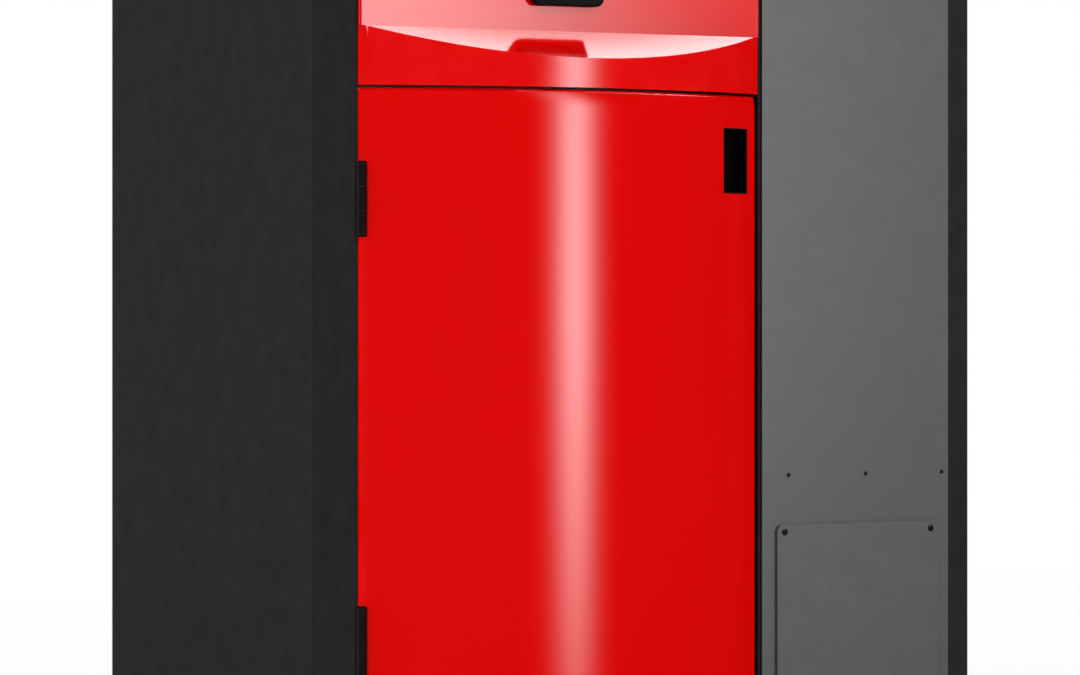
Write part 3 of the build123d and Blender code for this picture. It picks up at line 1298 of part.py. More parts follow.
def cable_gland():
    """Screwed gland for the mains lead, in the rear panel."""
    at = (GLAND_X, GLAND_Z)
    def point(y):
        return (at[0], y, at[1])
    hexagon = Plane(origin=point(CABINET_DEPTH), x_dir=(1, 0, 0), z_dir=(0, 1, 0)) * RegularPolygon(15, 6)
    gland = extrude(hexagon, 8) + bar(point(CABINET_DEPTH - 9), point(CABINET_DEPTH), GLAND_RADIUS - 0.2)
    gland += bar(point(CABINET_DEPTH + 8), point(CABINET_DEPTH + 20), 11)
    return gland - bar(point(CABINET_DEPTH - 9), point(CABINET_DEPTH + 20), 5)


# Hopper


def hopper_front_panel():
    """Grey front sheet of the hopper, with the service opening behind the cover plate."""
    panel = block((HOPPER_LEFT, HOPPER_FRONT_RIGHT), (0, SHEET), (PANEL_BOTTOM, HOPPER_PANEL_TOP))
    xs, zs = cover_span()
    return panel - block(
        (xs[0] + FLANGE, xs[1] - FLANGE), (-1, SHEET + 1), (zs[0] + FLANGE, zs[1] - 2 * FLANGE + 4)
    )


def hopper_right_panel():
    """Right side sheet of the hopper, folded round its front edge as a narrow lip."""
    side = block(
        (HOPPER_RIGHT - SHEET, HOPPER_RIGHT),
        (SEAM, CABINET_DEPTH - SHEET),
        (PANEL_BOTTOM, HOPPER_PANEL_TOP),
    )
    lip = block((HOPPER_FRONT_RIGHT, HOPPER_RIGHT), (SEAM, SEAM + SHEET), (PANEL_BOTTOM, HOPPER_PANEL_TOP))
    lap = block(
        (HOPPER_FRONT_RIGHT - FLANGE, HOPPER_FRONT_RIGHT + 2),
        (SHEET, 2 * SHEET),
        (PANEL_BOTTOM, HOPPER_PANEL_TOP),
    )
    return side + lip + lap


def hopper_left_panel():
    """Left side sheet of the hopper, with the way for the pellet feed."""
    panel = block(
        (HOPPER_LEFT, HOPPER_LEFT + SHEET), (SHEET, CABINET_DEPTH - SHEET), (PANEL_BOTTOM, HOPPER_PANEL_TOP)
    )
    return panel - bar(
        (0, BURNER_Y, STOKER_HEIGHT), (HOPPER_RIGHT, BURNER_Y, STOKER_HEIGHT), STOKER_OUTER + TOUCH
    )


def hopper_rear_panel():
    """Rear sheet of the hopper."""
    return block(
        (HOPPER_LEFT, HOPPER_RIGHT),
        (CABINET_DEPTH - SHEET, CABINET_DEPTH),
        (PANEL_BOTTOM, HOPPER_PANEL_TOP),
    )


def hopper_top_span(inset):
    """The bin's rectangle inside the hopper panels."""
    xs = (HOPPER_LEFT + SHEET + inset, HOPPER_RIGHT - SHEET - inset)
    ys = (3 * SHEET + inset, CABINET_DEPTH - SHEET - inset)
    return xs, ys


def bin_walls(xs, ys):
    """The bin's upright walls, each with a rim that closes the gap to the panel beside it."""
    walls = box_plates(xs, ys, (BIN_SLOPE_TOP, HOPPER_PANEL_TOP), SHEET, ("bottom", "top"))
    rim_xs, rim_ys = hopper_top_span(0)
    rim_zs = (HOPPER_PANEL_TOP - SHEET, HOPPER_PANEL_TOP)
    walls["left"] += block((rim_xs[0], xs[0]), rim_ys, rim_zs)
    walls["right"] += block((xs[1], rim_xs[1]), rim_ys, rim_zs)
    walls["front"] += block(xs, (rim_ys[0], ys[0]), rim_zs)
    walls["back"] += block(xs, (ys[1], rim_ys[1]), rim_zs)
    return list(walls.values())


def level_rectangle(xs, ys, z):
    """A flat rectangle at a height."""
    return Pos(sum(xs) / 2, sum(ys) / 2, z) * Rectangle(xs[1] - xs[0], ys[1] - ys[0])


def bin_slopes(upper_xs, upper_ys, lower_xs, lower_ys):
    """Four sloping plates between the upright walls and the trough."""
    upper = box_strips(upper_xs, upper_ys)
    lower = box_strips(lower_xs, lower_ys)
    return [
        loft([level_rectangle(*low, TROUGH_TOP), level_rectangle(*high, BIN_SLOPE_TOP)], ruled=True)
        for low, high in zip(lower, upper)
    ]


def box_strips(xs, ys):
    """Plans of a box's four walls, each as its X and Y values."""
    inner_xs = (xs[0] + SHEET, xs[1] - SHEET)
    return [
        ((xs[0], inner_xs[0]), ys),
        ((inner_xs[1], xs[1]), ys),
        (inner_xs, (ys[0], ys[0] + SHEET)),
        (inner_xs, (ys[1] - SHEET, ys[1])),
    ]


def bin_trough(xs, ys):
    """The feed screw's trough: two sides, a rolled bottom with the outlet, and two bored end plates."""
    zs = (SCREW_HEIGHT, TROUGH_TOP)
    inner_ys = (ys[0] + SHEET, ys[1] - SHEET)
    ends = ((TROUGH_X, inner_ys[0], SCREW_HEIGHT), (TROUGH_X, inner_ys[1], SCREW_HEIGHT))
    rolled = pipe(*ends, TROUGH_RADIUS, TROUGH_RADIUS - SHEET)
    rolled &= block(xs, inner_ys, (SCREW_HEIGHT - TROUGH_RADIUS, SCREW_HEIGHT))
    outlet_side = CHUTE_SIDE - 6
    rolled -= block(around(TROUGH_X, outlet_side), around(BURNER_Y, outlet_side), (0, SCREW_HEIGHT))
    shaft = bar(
        (TROUGH_X, 0, SCREW_HEIGHT), (TROUGH_X, CABINET_DEPTH, SCREW_HEIGHT), SCREW_SHAFT + HINGE_PLAY
    )
    pieces = [
        rolled, block((xs[0], xs[0] + SHEET), inner_ys, zs), block((xs[1] - SHEET, xs[1]), inner_ys, zs)
    ]
    for start in (ys[0], ys[1] - SHEET):
        end = block(xs, (start, start + SHEET), zs)
        end += bar((TROUGH_X, start, SCREW_HEIGHT), (TROUGH_X, start + SHEET, SCREW_HEIGHT), TROUGH_RADIUS)
        pieces.append(end - shaft)
    return pieces


def hopper_bin():
    """Pellet bin welded from sheet: upright walls with a rim, slopes, the trough and its bracket."""
    xs, ys = hopper_top_span(BIN_CLEARANCE)
    trough_xs = (TROUGH_X - TROUGH_RADIUS, TROUGH_X + TROUGH_RADIUS)
    trough_ys = (TROUGH_START, TROUGH_END)
    slopes = bin_slopes(xs, ys, trough_xs, trough_ys)
    return combine(bin_walls(xs, ys) + slopes + bin_trough(trough_xs, trough_ys) + bin_bracket())


def bin_bracket():
    """Shelf and upright that carry the trough's front end on the front panel, behind the small screws."""
    xs = (PANEL_SCREW_FIRST - 12, HOPPER_FRONT_RIGHT - FLANGE - SEAM)
    low = PANEL_SCREW_HEIGHT - 8
    shelf = block(xs, (3 * SHEET, TROUGH_START), (low, low + 3))
    lip = block(xs, (SHEET, 3 * SHEET), (low, low + 20))
    upright = block(around(TROUGH_X, 80), (TROUGH_START - 3, TROUGH_START), (low + 3, SCREW_HEIGHT - 40))
    return [shelf, lip, upright]


def lid_hinge_y():
    """The lid's hinge axis, behind the hopper."""
    return CABINET_DEPTH + LID_HINGE_BACK


def lid_hinge_z():
    """Height of the lid's hinge axis."""
    return HOPPER_PANEL_TOP + HOPPER_LID_GAP + LID_HINGE_RADIUS


def lid_hinge_places():
    """Middles of the lid's two hinges along X."""
    return HOPPER_LEFT + LID_HINGE_INSET, HOPPER_RIGHT - LID_HINGE_INSET


def lid_knuckle(x, low, high):
    """Part of a lid hinge's barrel between two places measured from its middle."""
    y, z = lid_hinge_y(), lid_hinge_z()
    return bar((x + low, y, z), (x + high, y, z), LID_HINGE_RADIUS)


def hopper_lid():
    """Filling lid: a deep folded tray with rounded edges and a grip lip, with two hinge barrels."""
    zs = (HOPPER_PANEL_TOP + HOPPER_LID_GAP, CABINET_TOP)
    outer = block((HOPPER_LEFT, HOPPER_RIGHT), (0, CABINET_DEPTH), zs)
    outer = fillet(outer.edges().group_by(Axis.Z)[-1], 4)
    inner = block(
        (HOPPER_LEFT + SHEET, HOPPER_RIGHT - SHEET),
        (SHEET, CABINET_DEPTH - SHEET),
        (zs[0] - 1, zs[1] - SHEET),
    )
    lid = outer - fillet(inner.edges().group_by(Axis.Z)[-1], 2.5)
    third = LID_HINGE_LENGTH / 6
    for x in lid_hinge_places():
        barrel = lid_knuckle(x, -third + KNUCKLE_GAP, third - KNUCKLE_GAP)
        strap = block(
            (x - third + KNUCKLE_GAP, x + third - KNUCKLE_GAP),
            (CABINET_DEPTH - SHEET, lid_hinge_y()),
            (lid_hinge_z() + 2, lid_hinge_z() + LID_HINGE_RADIUS),
        )
        lid += barrel + strap
        lid -= bar(
            (x - 30, lid_hinge_y(), lid_hinge_z()),
            (x + 30, lid_hinge_y(), lid_hinge_z()),
            LID_PIN_RADIUS + HINGE_PLAY,
        )
    return lid


def lid_hinge_leaves():
    """Fixed leaves of the lid's hinges, on the hopper's rear panel."""
    leaves = []
    third = LID_HINGE_LENGTH / 6
    for x in lid_hinge_places():
        leaf = block(
            around(x, LID_HINGE_LENGTH),
            (CABINET_DEPTH, CABINET_DEPTH + 2.5),
            (lid_hinge_z() - 45, HOPPER_PANEL_TOP - 1),
        )
        for low, high in ((-3 * third, -third), (third, 3 * third)):
            leaf += lid_knuckle(x, low, high)
            leaf += block(
                (x + low, x + high),
                (CABINET_DEPTH, lid_hinge_y()),
                (HOPPER_PANEL_TOP - 4, HOPPER_PANEL_TOP - 1),
            )
            leaf += block(
                (x + low, x + high),
                (lid_hinge_y() - 4, lid_hinge_y()),
                (HOPPER_PANEL_TOP - 4, lid_hinge_z()),
            )
        leaves.append(
            leaf - bar(
                (x - 60, lid_hinge_y(), lid_hinge_z()),
                (x + 60, lid_hinge_y(), lid_hinge_z()),
                LID_PIN_RADIUS,
            ),
        )
    return combine(leaves)


def cover_span():
    """Outline of the cover plate: X and Z pairs."""
    return (COVER_LEFT, COVER_LEFT + COVER_WIDTH), (COVER_BOTTOM, COVER_TOP)


def cover_screw_places():
    """Centres of the cover plate's four screws, as X and Z."""
    xs, zs = cover_span()
    inset = COVER_SCREW_INSET
    return [(x, z) for x in (xs[0] + inset, xs[1] - inset) for z in (zs[0] + inset, zs[1] - inset + 2)]


def cover_plate():
    """Removable cover over the feed drive: a shallow tray with round corners and screw holes."""
    xs, zs = cover_span()
    outer = block(xs, (-COVER_PROUD, 0), zs)
    outer = fillet(outer.edges().filter_by(Axis.Y), COVER_CORNER)
    inner = block((xs[0] + SHEET, xs[1] - SHEET), (-COVER_PROUD + SHEET, 1), (zs[0] + SHEET, zs[1] - SHEET))
    inner = fillet(inner.edges().filter_by(Axis.Y), COVER_CORNER - SHEET)
    plate = outer - inner
    for x, z in cover_screw_places():
        plate += bar((x, -COVER_PROUD + SHEET, z), (x, 0, z), 6)
        plate -= bar((x, -COVER_PROUD, z), (x, 0, z), 3.1)
    return plate


def front_screws():
    """Button-head screws of the cover plate and of the row above it."""
    screws = []
    for x, z in cover_screw_places():
        screws.append(button_screw(x, -COVER_PROUD, z, COVER_SCREW_HEAD, 3.0, COVER_PROUD))
    for i in range(3):
        x = PANEL_SCREW_FIRST + i * PANEL_SCREW_PITCH
        screws.append(button_screw(x, 0, PANEL_SCREW_HEIGHT, PANEL_SCREW_HEAD, 0, 0))
    return combine(screws)


def button_screw(x, y, z, head, shank, length):
    """A domed screw head facing -Y, with a hexagonal socket, and its shank behind it."""
    dome = Plane(origin=(x, y, z), x_dir=(1, 0, 0), z_dir=(0, -1, 0)) * Cone(
        head, head * 0.62, head * 0.56, align=(Align.CENTER, Align.CENTER, Align.MIN)
    )
    socket = Plane(
        origin=(x, y - head * 0.56, z), x_dir=(1, 0, 0), z_dir=(0, 1, 0)
    ) * RegularPolygon(head * 0.36, 6)
    screw = dome - extrude(socket, head * 0.3)
    return screw + bar((x, y, z), (x, y + length, z), shank) if shank else screw


# Pellet feed


def feed_screw(length, before, after):
    """A helical flight along +Z from the origin, on a shaft that runs on past both of its ends."""
    shaft = Pos(0, 0, -before) * Cylinder(
        SCREW_SHAFT, before + length + after, align=(Align.CENTER, Align.CENTER, Align.MIN)
    )
    path = Helix(SCREW_PITCH, length - FLIGHT_THICKNESS, (SCREW_SHAFT + SCREW_RADIUS) / 2)
    width = SCREW_RADIUS - SCREW_SHAFT + 2
    section = Plane(origin=path @ 0, x_dir=(1, 0, 0), z_dir=path % 0) * Rectangle(width, FLIGHT_THICKNESS)
    flight = sweep(section, path, is_frenet=True)
    return (shaft + Pos(0, 0, FLIGHT_THICKNESS / 2) * flight).solid()


def dosing_screw():
    """Screw in the bin's trough, with its drive end at the front."""
    before = TROUGH_START + 6 - DRIVE_FRONT - 10
    screw = feed_screw(TROUGH_END - TROUGH_START - 18, before, 18)
    return Plane(
        origin=(TROUGH_X, TROUGH_START + 6, SCREW_HEIGHT), x_dir=(1, 0, 0), z_dir=(0, 1, 0)
    ) * screw


def dosing_gearmotor():
    """Geared motor of the dosing screw, on the trough's front wall."""
    ys = (DRIVE_FRONT, TROUGH_START)
    box = block(around(TROUGH_X, DOSING_GEARBOX), ys, around(SCREW_HEIGHT, DOSING_GEARBOX))
    box = fillet(box.edges().filter_by(Axis.Y), 10)
    box += bar((TROUGH_X + 38, sum(ys) / 2, SCREW_HEIGHT), (TROUGH_X + 118, sum(ys) / 2, SCREW_HEIGHT), 19)
    return box - bar(
        (TROUGH_X, DRIVE_FRONT + 9, SCREW_HEIGHT),
        (TROUGH_X, TROUGH_START, SCREW_HEIGHT),
        SCREW_SHAFT + HINGE_PLAY,
    )


def stoker_housing():
    """Feed tube into the burner, with the square drop chute from the bin's outlet and a foot."""
    start = (POT_OUTER / 2 + TOUCH, BURNER_Y, STOKER_HEIGHT)
    end = (STOKER_END, BURNER_Y, STOKER_HEIGHT)
    chute_top = SCREW_HEIGHT - TROUGH_RADIUS
    xs = around(TROUGH_X, CHUTE_SIDE)
    ys = around(BURNER_Y, CHUTE_SIDE)
    flange_side = CHUTE_SIDE + 2 * CHUTE_FLANGE
    round_tube = bar(start, end, STOKER_OUTER)
    tube = pipe(start, end, STOKER_OUTER, STOKER_INNER)
    tube -= block(
        (xs[0] + CHUTE_WALL, xs[1] - CHUTE_WALL),
        (ys[0] + CHUTE_WALL, ys[1] - CHUTE_WALL),
        (STOKER_HEIGHT, chute_top),
    )
    chute = box_plates(xs, ys, (STOKER_HEIGHT, chute_top), CHUTE_WALL, ("bottom", "top"))
    flange = box_plates(
        around(TROUGH_X, flange_side),
        around(BURNER_Y, flange_side),
        (chute_top - CHUTE_WALL, chute_top),
        CHUTE_FLANGE,
        ("bottom", "top"),
    )
    foot_xs = (STOKER_END - 60, STOKER_END - 54)
    upright = block(foot_xs, around(BURNER_Y, 60), (PANEL_BOTTOM + 3, STOKER_HEIGHT)) - round_tube
    sole = block((STOKER_END - 90, STOKER_END - 54), around(BURNER_Y, 60), (PANEL_BOTTOM, PANEL_BOTTOM + 3))
    walls = [plate - round_tube for plate in chute.values()]
    return combine([tube, *walls, *flange.values(), upright, sole])


def stoker_screw():
    """Screw that carries the pellets along the feed tube into the burner pot."""
    begin = POT_INNER / 2 + 2
    screw = feed_screw(STOKER_END - 6 - begin, 0, 26)
    return Plane(origin=(begin, BURNER_Y, STOKER_HEIGHT), x_dir=(0, 1, 0), z_dir=(1, 0, 0)) * screw


def stoker_gearmotor():
    """Geared motor of the feed screw, on the end of the feed tube."""
    xs = (STOKER_END, HOPPER_RIGHT - SHEET - 5)
    box = block(xs, around(BURNER_Y, STOKER_GEARBOX), around(STOKER_HEIGHT, STOKER_GEARBOX))
    box = fillet(box.edges().filter_by(Axis.X), 12)
    x = sum(xs) / 2
    box += bar((x, BURNER_Y + 50, STOKER_HEIGHT), (x, BURNER_Y + 170, STOKER_HEIGHT), 17)
    return box - bar(
        (STOKER_END, BURNER_Y, STOKER_HEIGHT),
        (STOKER_END + 21, BURNER_Y, STOKER_HEIGHT),
        SCREW_SHAFT + HINGE_PLAY,
    )


# Writing the parts


def save(name, shape):
    """Moves a part so that the origin is at the middle of the floor and writes it."""
    export_step(Pos(SHIFT_X, SHIFT_Y, 0) * shape, f"parts/{name}.step")


def main():
    """Builds and writes every part."""
    os.makedirs("parts", exist_ok=True)
    save("levelling_feet", levelling_feet())
    save("base_frames", base_frames())
    save("boiler_body", boiler_body())
    save("chamber_lining", chamber_lining())
    save("heat_exchanger_tubes", heat_exchanger_tubes())
    save("turbulators", turbulators())
    save("turbulator_lift_frame", turbulator_lift_frame())
    save("cleaning_pinion", cleaning_pinion())
    save("cleaning_gearmotor", cleaning_gearmotor())
    save("smoke_box_lid", smoke_box_lid())
    save("insulation_jacket", insulation_jacket())
    save("burner_pot", burner_pot())
    save("tilting_grate", tilting_grate())
    save("grate_actuator", grate_actuator())
    save("igniter", igniter())
    save("fire_door", fire_door())
    save("fire_door_insulation", fire_door_insulation())
    save("fire_door_seal", fire_door_seal())
    save("fire_door_handle", fire_door_handle())
    save("ash_drawer", ash_drawer())
    save("hinge_pins", hinge_pins())
    save("left_cheek", cheek(-1))
    save("right_cheek", cheek(1))
    save("left_side_panel", side_panel(-1))
    save("right_side_panel", side_panel(1))
    save("rear_panel", rear_panel())
    save("top_cover", top_cover())
    save("plinth_panel", plinth_panel())
    save("front_fascia", front_fascia())
    save("display_housing", display_housing())
    save("display_screen", display_screen())
    save("control_box", control_box())
    save("front_door", front_door())
    save("door_liner", door_liner())
    save("grip_cup", grip_cup())
    save("fixed_hinge_leaves", combine([hinge_frame_halves(), lid_hinge_leaves()]))
    save("door_hinge_door_halves", hinge_door_halves())
    save("door_magnets", door_magnets())
    save("flue_fan_housing", flue_fan_housing())
    save("flue_fan_impeller", flue_fan_impeller())
    save("flue_fan_motor", flue_fan_motor())
    save("pipe_sockets", pipe_sockets())
    save("drain_valve", drain_valve())
    save("drain_valve_lever", drain_valve_lever())
    save("main_switch_frame", main_switch_frame())
    save("main_switch_rocker", main_switch_rocker())
    save("cable_gland", cable_gland())
    save("hopper_front_panel", hopper_front_panel())
    save("hopper_right_panel", hopper_right_panel())
    save("hopper_left_panel", hopper_left_panel())
    save("hopper_rear_panel", hopper_rear_panel())
    save("hopper_bin", hopper_bin())
    save("hopper_lid", hopper_lid())
    save("cover_plate", cover_plate())
    save("front_screws", front_screws())
    save("dosing_screw", dosing_screw())
    save("dosing_gearmotor", dosing_gearmotor())
    save("stoker_housing", stoker_housing())
    save("stoker_screw", stoker_screw())
    save("stoker_gearmotor", stoker_gearmotor())


main()
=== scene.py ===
import json
import math

import bmesh
import bpy
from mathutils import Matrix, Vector


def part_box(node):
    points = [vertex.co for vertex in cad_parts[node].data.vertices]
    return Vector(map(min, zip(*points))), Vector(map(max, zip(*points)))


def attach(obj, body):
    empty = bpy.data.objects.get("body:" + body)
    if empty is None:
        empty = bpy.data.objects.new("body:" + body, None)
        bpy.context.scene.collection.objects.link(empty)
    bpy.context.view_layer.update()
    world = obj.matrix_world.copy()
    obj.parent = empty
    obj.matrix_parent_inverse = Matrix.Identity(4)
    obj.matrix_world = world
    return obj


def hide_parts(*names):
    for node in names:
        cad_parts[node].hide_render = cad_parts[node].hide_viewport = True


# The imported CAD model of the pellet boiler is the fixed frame. This script gives it its surfaces, four pieces
# shaped closer to the photograph, the photograph's camera and the studio light.

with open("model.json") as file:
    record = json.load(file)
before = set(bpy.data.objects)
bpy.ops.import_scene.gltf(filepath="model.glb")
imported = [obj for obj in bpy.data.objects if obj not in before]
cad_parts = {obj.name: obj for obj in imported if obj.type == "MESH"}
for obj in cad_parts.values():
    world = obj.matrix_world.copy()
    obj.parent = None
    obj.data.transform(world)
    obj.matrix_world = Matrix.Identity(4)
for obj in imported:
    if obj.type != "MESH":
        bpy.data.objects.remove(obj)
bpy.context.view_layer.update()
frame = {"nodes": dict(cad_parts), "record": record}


NODES = frame["nodes"]


# Node trees


class Value:
    """A socket of a node tree, with arithmetic."""

    def __init__(self, tree, socket):
        self.tree = tree
        self.socket = socket

    def math(self, operation, *others):
        """The result of a Math node on this value and the others."""
        node = self.tree.nodes.new("ShaderNodeMath")
        node.operation = operation
        for slot_number, item in enumerate((self, *others)):
            put(self.tree, node.inputs[slot_number], item)
        return Value(self.tree, node.outputs[0])

    def __add__(self, other):
        return self.math("ADD", other)

    def __radd__(self, other):
        return self.math("ADD", other)

    def __sub__(self, other):
        return self.math("SUBTRACT", other)

    def __rsub__(self, other):
        return (self * -1) + other

    def __mul__(self, other):
        return self.math("MULTIPLY", other)

    def __rmul__(self, other):
        return self.math("MULTIPLY", other)

    def __truediv__(self, other):
        return self.math("DIVIDE", other)

    def clamped(self):
        """The value held between 0 and 1."""
        return self.math("MINIMUM", 1.0).math("MAXIMUM", 0.0)


def put(tree, target, item):
    """Link a value to an input socket, or set the socket's own constant."""
    if isinstance(item, Value):
        tree.links.new(item.socket, target)
    elif isinstance(item, tuple) and len(item) == 3 and target.type == "RGBA":
        target.default_value = (*item, 1.0)
    else:
        target.default_value = item


class Finish:
    """A material's node tree, with one method that makes its nodes."""

    def __init__(self, name):
        self.material = bpy.data.materials.new(name)
        self.material.use_nodes = True
        self.tree = self.material.node_tree
        self.tree.nodes.clear()

    def node(self, kind, settings=None, output=0, **inputs):
        """Make a node: its type, then its settings, then its socket values and links by name."""
        node = self.tree.nodes.new("ShaderNode" + kind)
        for key, value in (settings or {}).items():
            setattr(node, key, value)
        for key, item in inputs.items():
            put(self.tree, node.inputs[key.replace("_", " ")], item)
        return Value(self.tree, node.outputs[output])

    def noise(self, scale, detail=2.0, roughness=0.5, stretch=(1.0, 1.0, 1.0)):
        """Even noise around 0.5, with its scale in features per metre."""
        place = self.node("TexCoord", output="Object")
        place = self.node("Mapping", Vector=place, Scale=stretch)
        return self.node("TexNoise", Vector=place, Scale=scale, Detail=detail, Roughness=roughness)

    def mix(self, factor, first, second):
        """A colour between two others."""
        node = self.tree.nodes.new("ShaderNodeMix")
        node.data_type = "RGBA"
        put(self.tree, node.inputs[0], factor)
        put(self.tree, node.inputs[6], first)
        put(self.tree, node.inputs[7], second)
        return Value(self.tree, node.outputs[2])

    def bump(self, height, depth):
        """A normal from a height between 0 and 1, with its depth in metres."""
        return self.node("Bump", Height=height, Distance=depth, Strength=1.0)

    def surface(self, **inputs):
        """The one physically based shader, and the material's output."""
        shader = self.node("BsdfPrincipled", **inputs)
        out = self.tree.nodes.new("ShaderNodeOutputMaterial")
        self.tree.links.new(shader.socket, out.inputs["Surface"])
        return self.material


# Finishes. Scales are features per metre, depths are metres.


def scaled(colour, factor, lift=0.0):
    """A colour made lighter or darker, and lifted where asked."""
    return tuple(min(1.0, channel * factor + lift) for channel in colour)


def powder_coat(name, colour, roughness, peel=0.00006, mottle=0.05, specular=0.5, coat=0.0):
    """Baked powder paint: fine orange peel, faint mottling, slow patches of gloss and rubbed edges."""
    finish = Finish(name)
    peel_noise = finish.noise(PEEL_SCALE, detail=3.0)
    patches = finish.noise(3.5, detail=4.0, roughness=0.6)
    speckle = finish.noise(900.0, detail=2.0)
    scuffs = finish.noise(26.0, detail=6.0, roughness=0.7)
    edge = finish.node("NewGeometry", output="Pointiness")
    worn = ((edge - WORN_EDGE) * WORN_GAIN).clamped() * (scuffs - 0.35).clamped()
    shade = (patches - 0.5) * mottle + (speckle - 0.5) * mottle + 0.5
    tone = finish.mix(shade, scaled(colour, 0.9), scaled(colour, 1.1))
    rubbed = scaled(colour, 1.25, RUBBED_LIFT)
    return finish.surface(
        Base_Color=finish.mix(worn, tone, rubbed),
        Roughness=((patches - 0.5) * 0.05 + (scuffs - 0.5) * 0.03 + roughness).clamped(),
        IOR=PAINT_IOR,
        Specular_IOR_Level=specular,
        Coat_Weight=coat,
        Coat_Roughness=CLEAR_COAT_ROUGHNESS,
        Normal=finish.bump(peel_noise, peel),
    )


def bare_metal(name, colour, roughness, grain=(1.0, 1.0, 30.0), grain_scale=60.0, soot=0.0):
    """Bare or plated metal: drawn grain, dull patches and darker soot or oil where asked."""
    finish = Finish(name)
    lines = finish.noise(grain_scale, detail=6.0, roughness=0.65, stretch=grain)
    patches = finish.noise(9.0, detail=5.0, roughness=0.6)
    spots = finish.noise(70.0, detail=3.0)
    base = finish.mix((lines - 0.3).clamped() * 0.6, colour, scaled(colour, 0.8))
    base = finish.mix(((patches - 0.45) * 3.0).clamped() * soot, base, scaled(colour, 0.55))
    rough = ((lines - 0.5) * 0.2 + (spots - 0.5) * 0.1 + roughness).clamped()
    return finish.surface(
        Base_Color=base,
        Metallic=1.0 - ((patches - 0.5) * soot).clamped(),
        Roughness=rough,
        Normal=finish.bump(lines, METAL_GRAIN_DEPTH),
    )


def rough_cast(name, colour, soot=0.5):
    """Sand-cast iron, with a coarse skin and a burnt haze."""
    finish = Finish(name)
    skin = finish.noise(260.0, detail=8.0, roughness=0.7)
    pits = finish.node("TexVoronoi", Scale=180.0, Vector=finish.node("TexCoord", output="Object"))
    haze = finish.noise(14.0, detail=5.0)
    base = finish.mix(((haze - 0.4) * 2.5).clamped() * soot, colour, (0.16, 0.11, 0.08))
    return finish.surface(
        Base_Color=base,
        Metallic=0.35,
        Roughness=((skin - 0.5) * 0.3 + 0.68).clamped(),
        Normal=finish.bump(skin * 0.7 + pits * 0.3, 0.0004),
    )


def pressed_board(name, colour):
    """Pressed vermiculite: flakes, pits and a scorched tone."""
    finish = Finish(name)
    place = finish.node("TexCoord", output="Object")
    flakes = finish.node("TexVoronoi", Scale=220.0, Randomness=1.0, Vector=place)
    grain = finish.noise(500.0, detail=5.0)
    scorch = finish.noise(7.0, detail=4.0)
    base = finish.mix((flakes * 1.4).clamped(), colour, scaled(colour, 0.6))
    base = finish.mix(((scorch - 0.45) * 2.2).clamped() * 0.6, base, (0.12, 0.1, 0.08))
    return finish.surface(
        Base_Color=base,
        Roughness=((grain - 0.5) * 0.2 + 0.85).clamped(),
        Normal=finish.bump(flakes * 0.6 + grain * 0.4, 0.0006),
    )


def wool(name, colour):
    """Matted mineral fibre."""
    finish = Finish(name)
    fibres = finish.noise(420.0, detail=9.0, roughness=0.75, stretch=(1.0, 1.0, 6.0))
    clumps = finish.noise(30.0, detail=4.0)
    base = finish.mix(fibres, scaled(colour, 0.7), colour)
    base = finish.mix(((clumps - 0.5) * 2.0).clamped(), base, scaled(colour, 1.15))
    return finish.surface(
        Base_Color=base,
        Roughness=((fibres - 0.5) * 0.1 + 0.92).clamped(),
        Normal=finish.bump(fibres * 0.7 + clumps * 0.3, 0.002),
    )


def rope(name, colour):
    """Woven glass rope, with slanted strands."""
    finish = Finish(name)
    place = finish.node(
        "Mapping", Vector=finish.node("TexCoord", output="Object"), Rotation=(0.6, 0.7, 0.5)
    )
    strands = finish.node("TexWave", {"wave_type": "BANDS", "bands_direction": "DIAGONAL"}, output=1,
                          Vector=place, Scale=130.0, Distortion=1.2, Detail=2.0)
    fuzz = finish.noise(900.0, detail=4.0)
    base = finish.mix(strands, scaled(colour, 0.55), colour)
    return finish.surface(
        Base_Color=base,
        Roughness=((fuzz - 0.5) * 0.1 + 0.88).clamped(),
        Normal=finish.bump(strands * 0.8 + fuzz * 0.2, 0.0008),
    )


def moulded(name, colour, roughness=0.45, depth=0.00003, specular=0.5):
    """Moulded plastic or rubber with a fine spark-eroded grain."""
    finish = Finish(name)
    pebble = finish.noise(MOULD_GRAIN_SCALE, detail=2.0)
    wear = finish.noise(18.0, detail=5.0, roughness=0.65)
    edge = finish.node("NewGeometry", output="Pointiness")
    shiny = ((edge - POLISHED_EDGE) * POLISHED_GAIN).clamped()
    base = finish.mix(((wear - 0.45) * 2.0).clamped() * 0.5, colour, scaled(colour, 1.3, 0.002))
    return finish.surface(
        Base_Color=base,
        Roughness=((wear - 0.5) * 0.12 - shiny * 0.1 + roughness).clamped(),
        Specular_IOR_Level=specular,
        Normal=finish.bump(pebble, depth),
    )


def screen_glass(name):
    """Smoked display window: hard gloss with faint wiping marks."""
    finish = Finish(name)
    marks = finish.noise(40.0, detail=5.0, roughness=0.7, stretch=(1.0, 1.0, 0.2))
    base = finish.mix(marks, (0.012, 0.014, 0.014), (0.02, 0.024, 0.022))
    return finish.surface(
        Base_Color=base,
        Roughness=((marks - 0.5) * 0.08 + 0.12).clamped(),
        Coat_Weight=0.5,
        Normal=finish.bump(marks, 0.000005),
    )


CLEAR_COAT_ROUGHNESS = 0.08
PAINT_IOR = 1.5
PEEL_SCALE = 420.0
WORN_EDGE = 0.53
WORN_GAIN = 14.0
RUBBED_LIFT = 0.012
METAL_GRAIN_DEPTH = 0.00004
MOULD_GRAIN_SCALE = 900.0
POLISHED_EDGE = 0.52
POLISHED_GAIN = 12.0

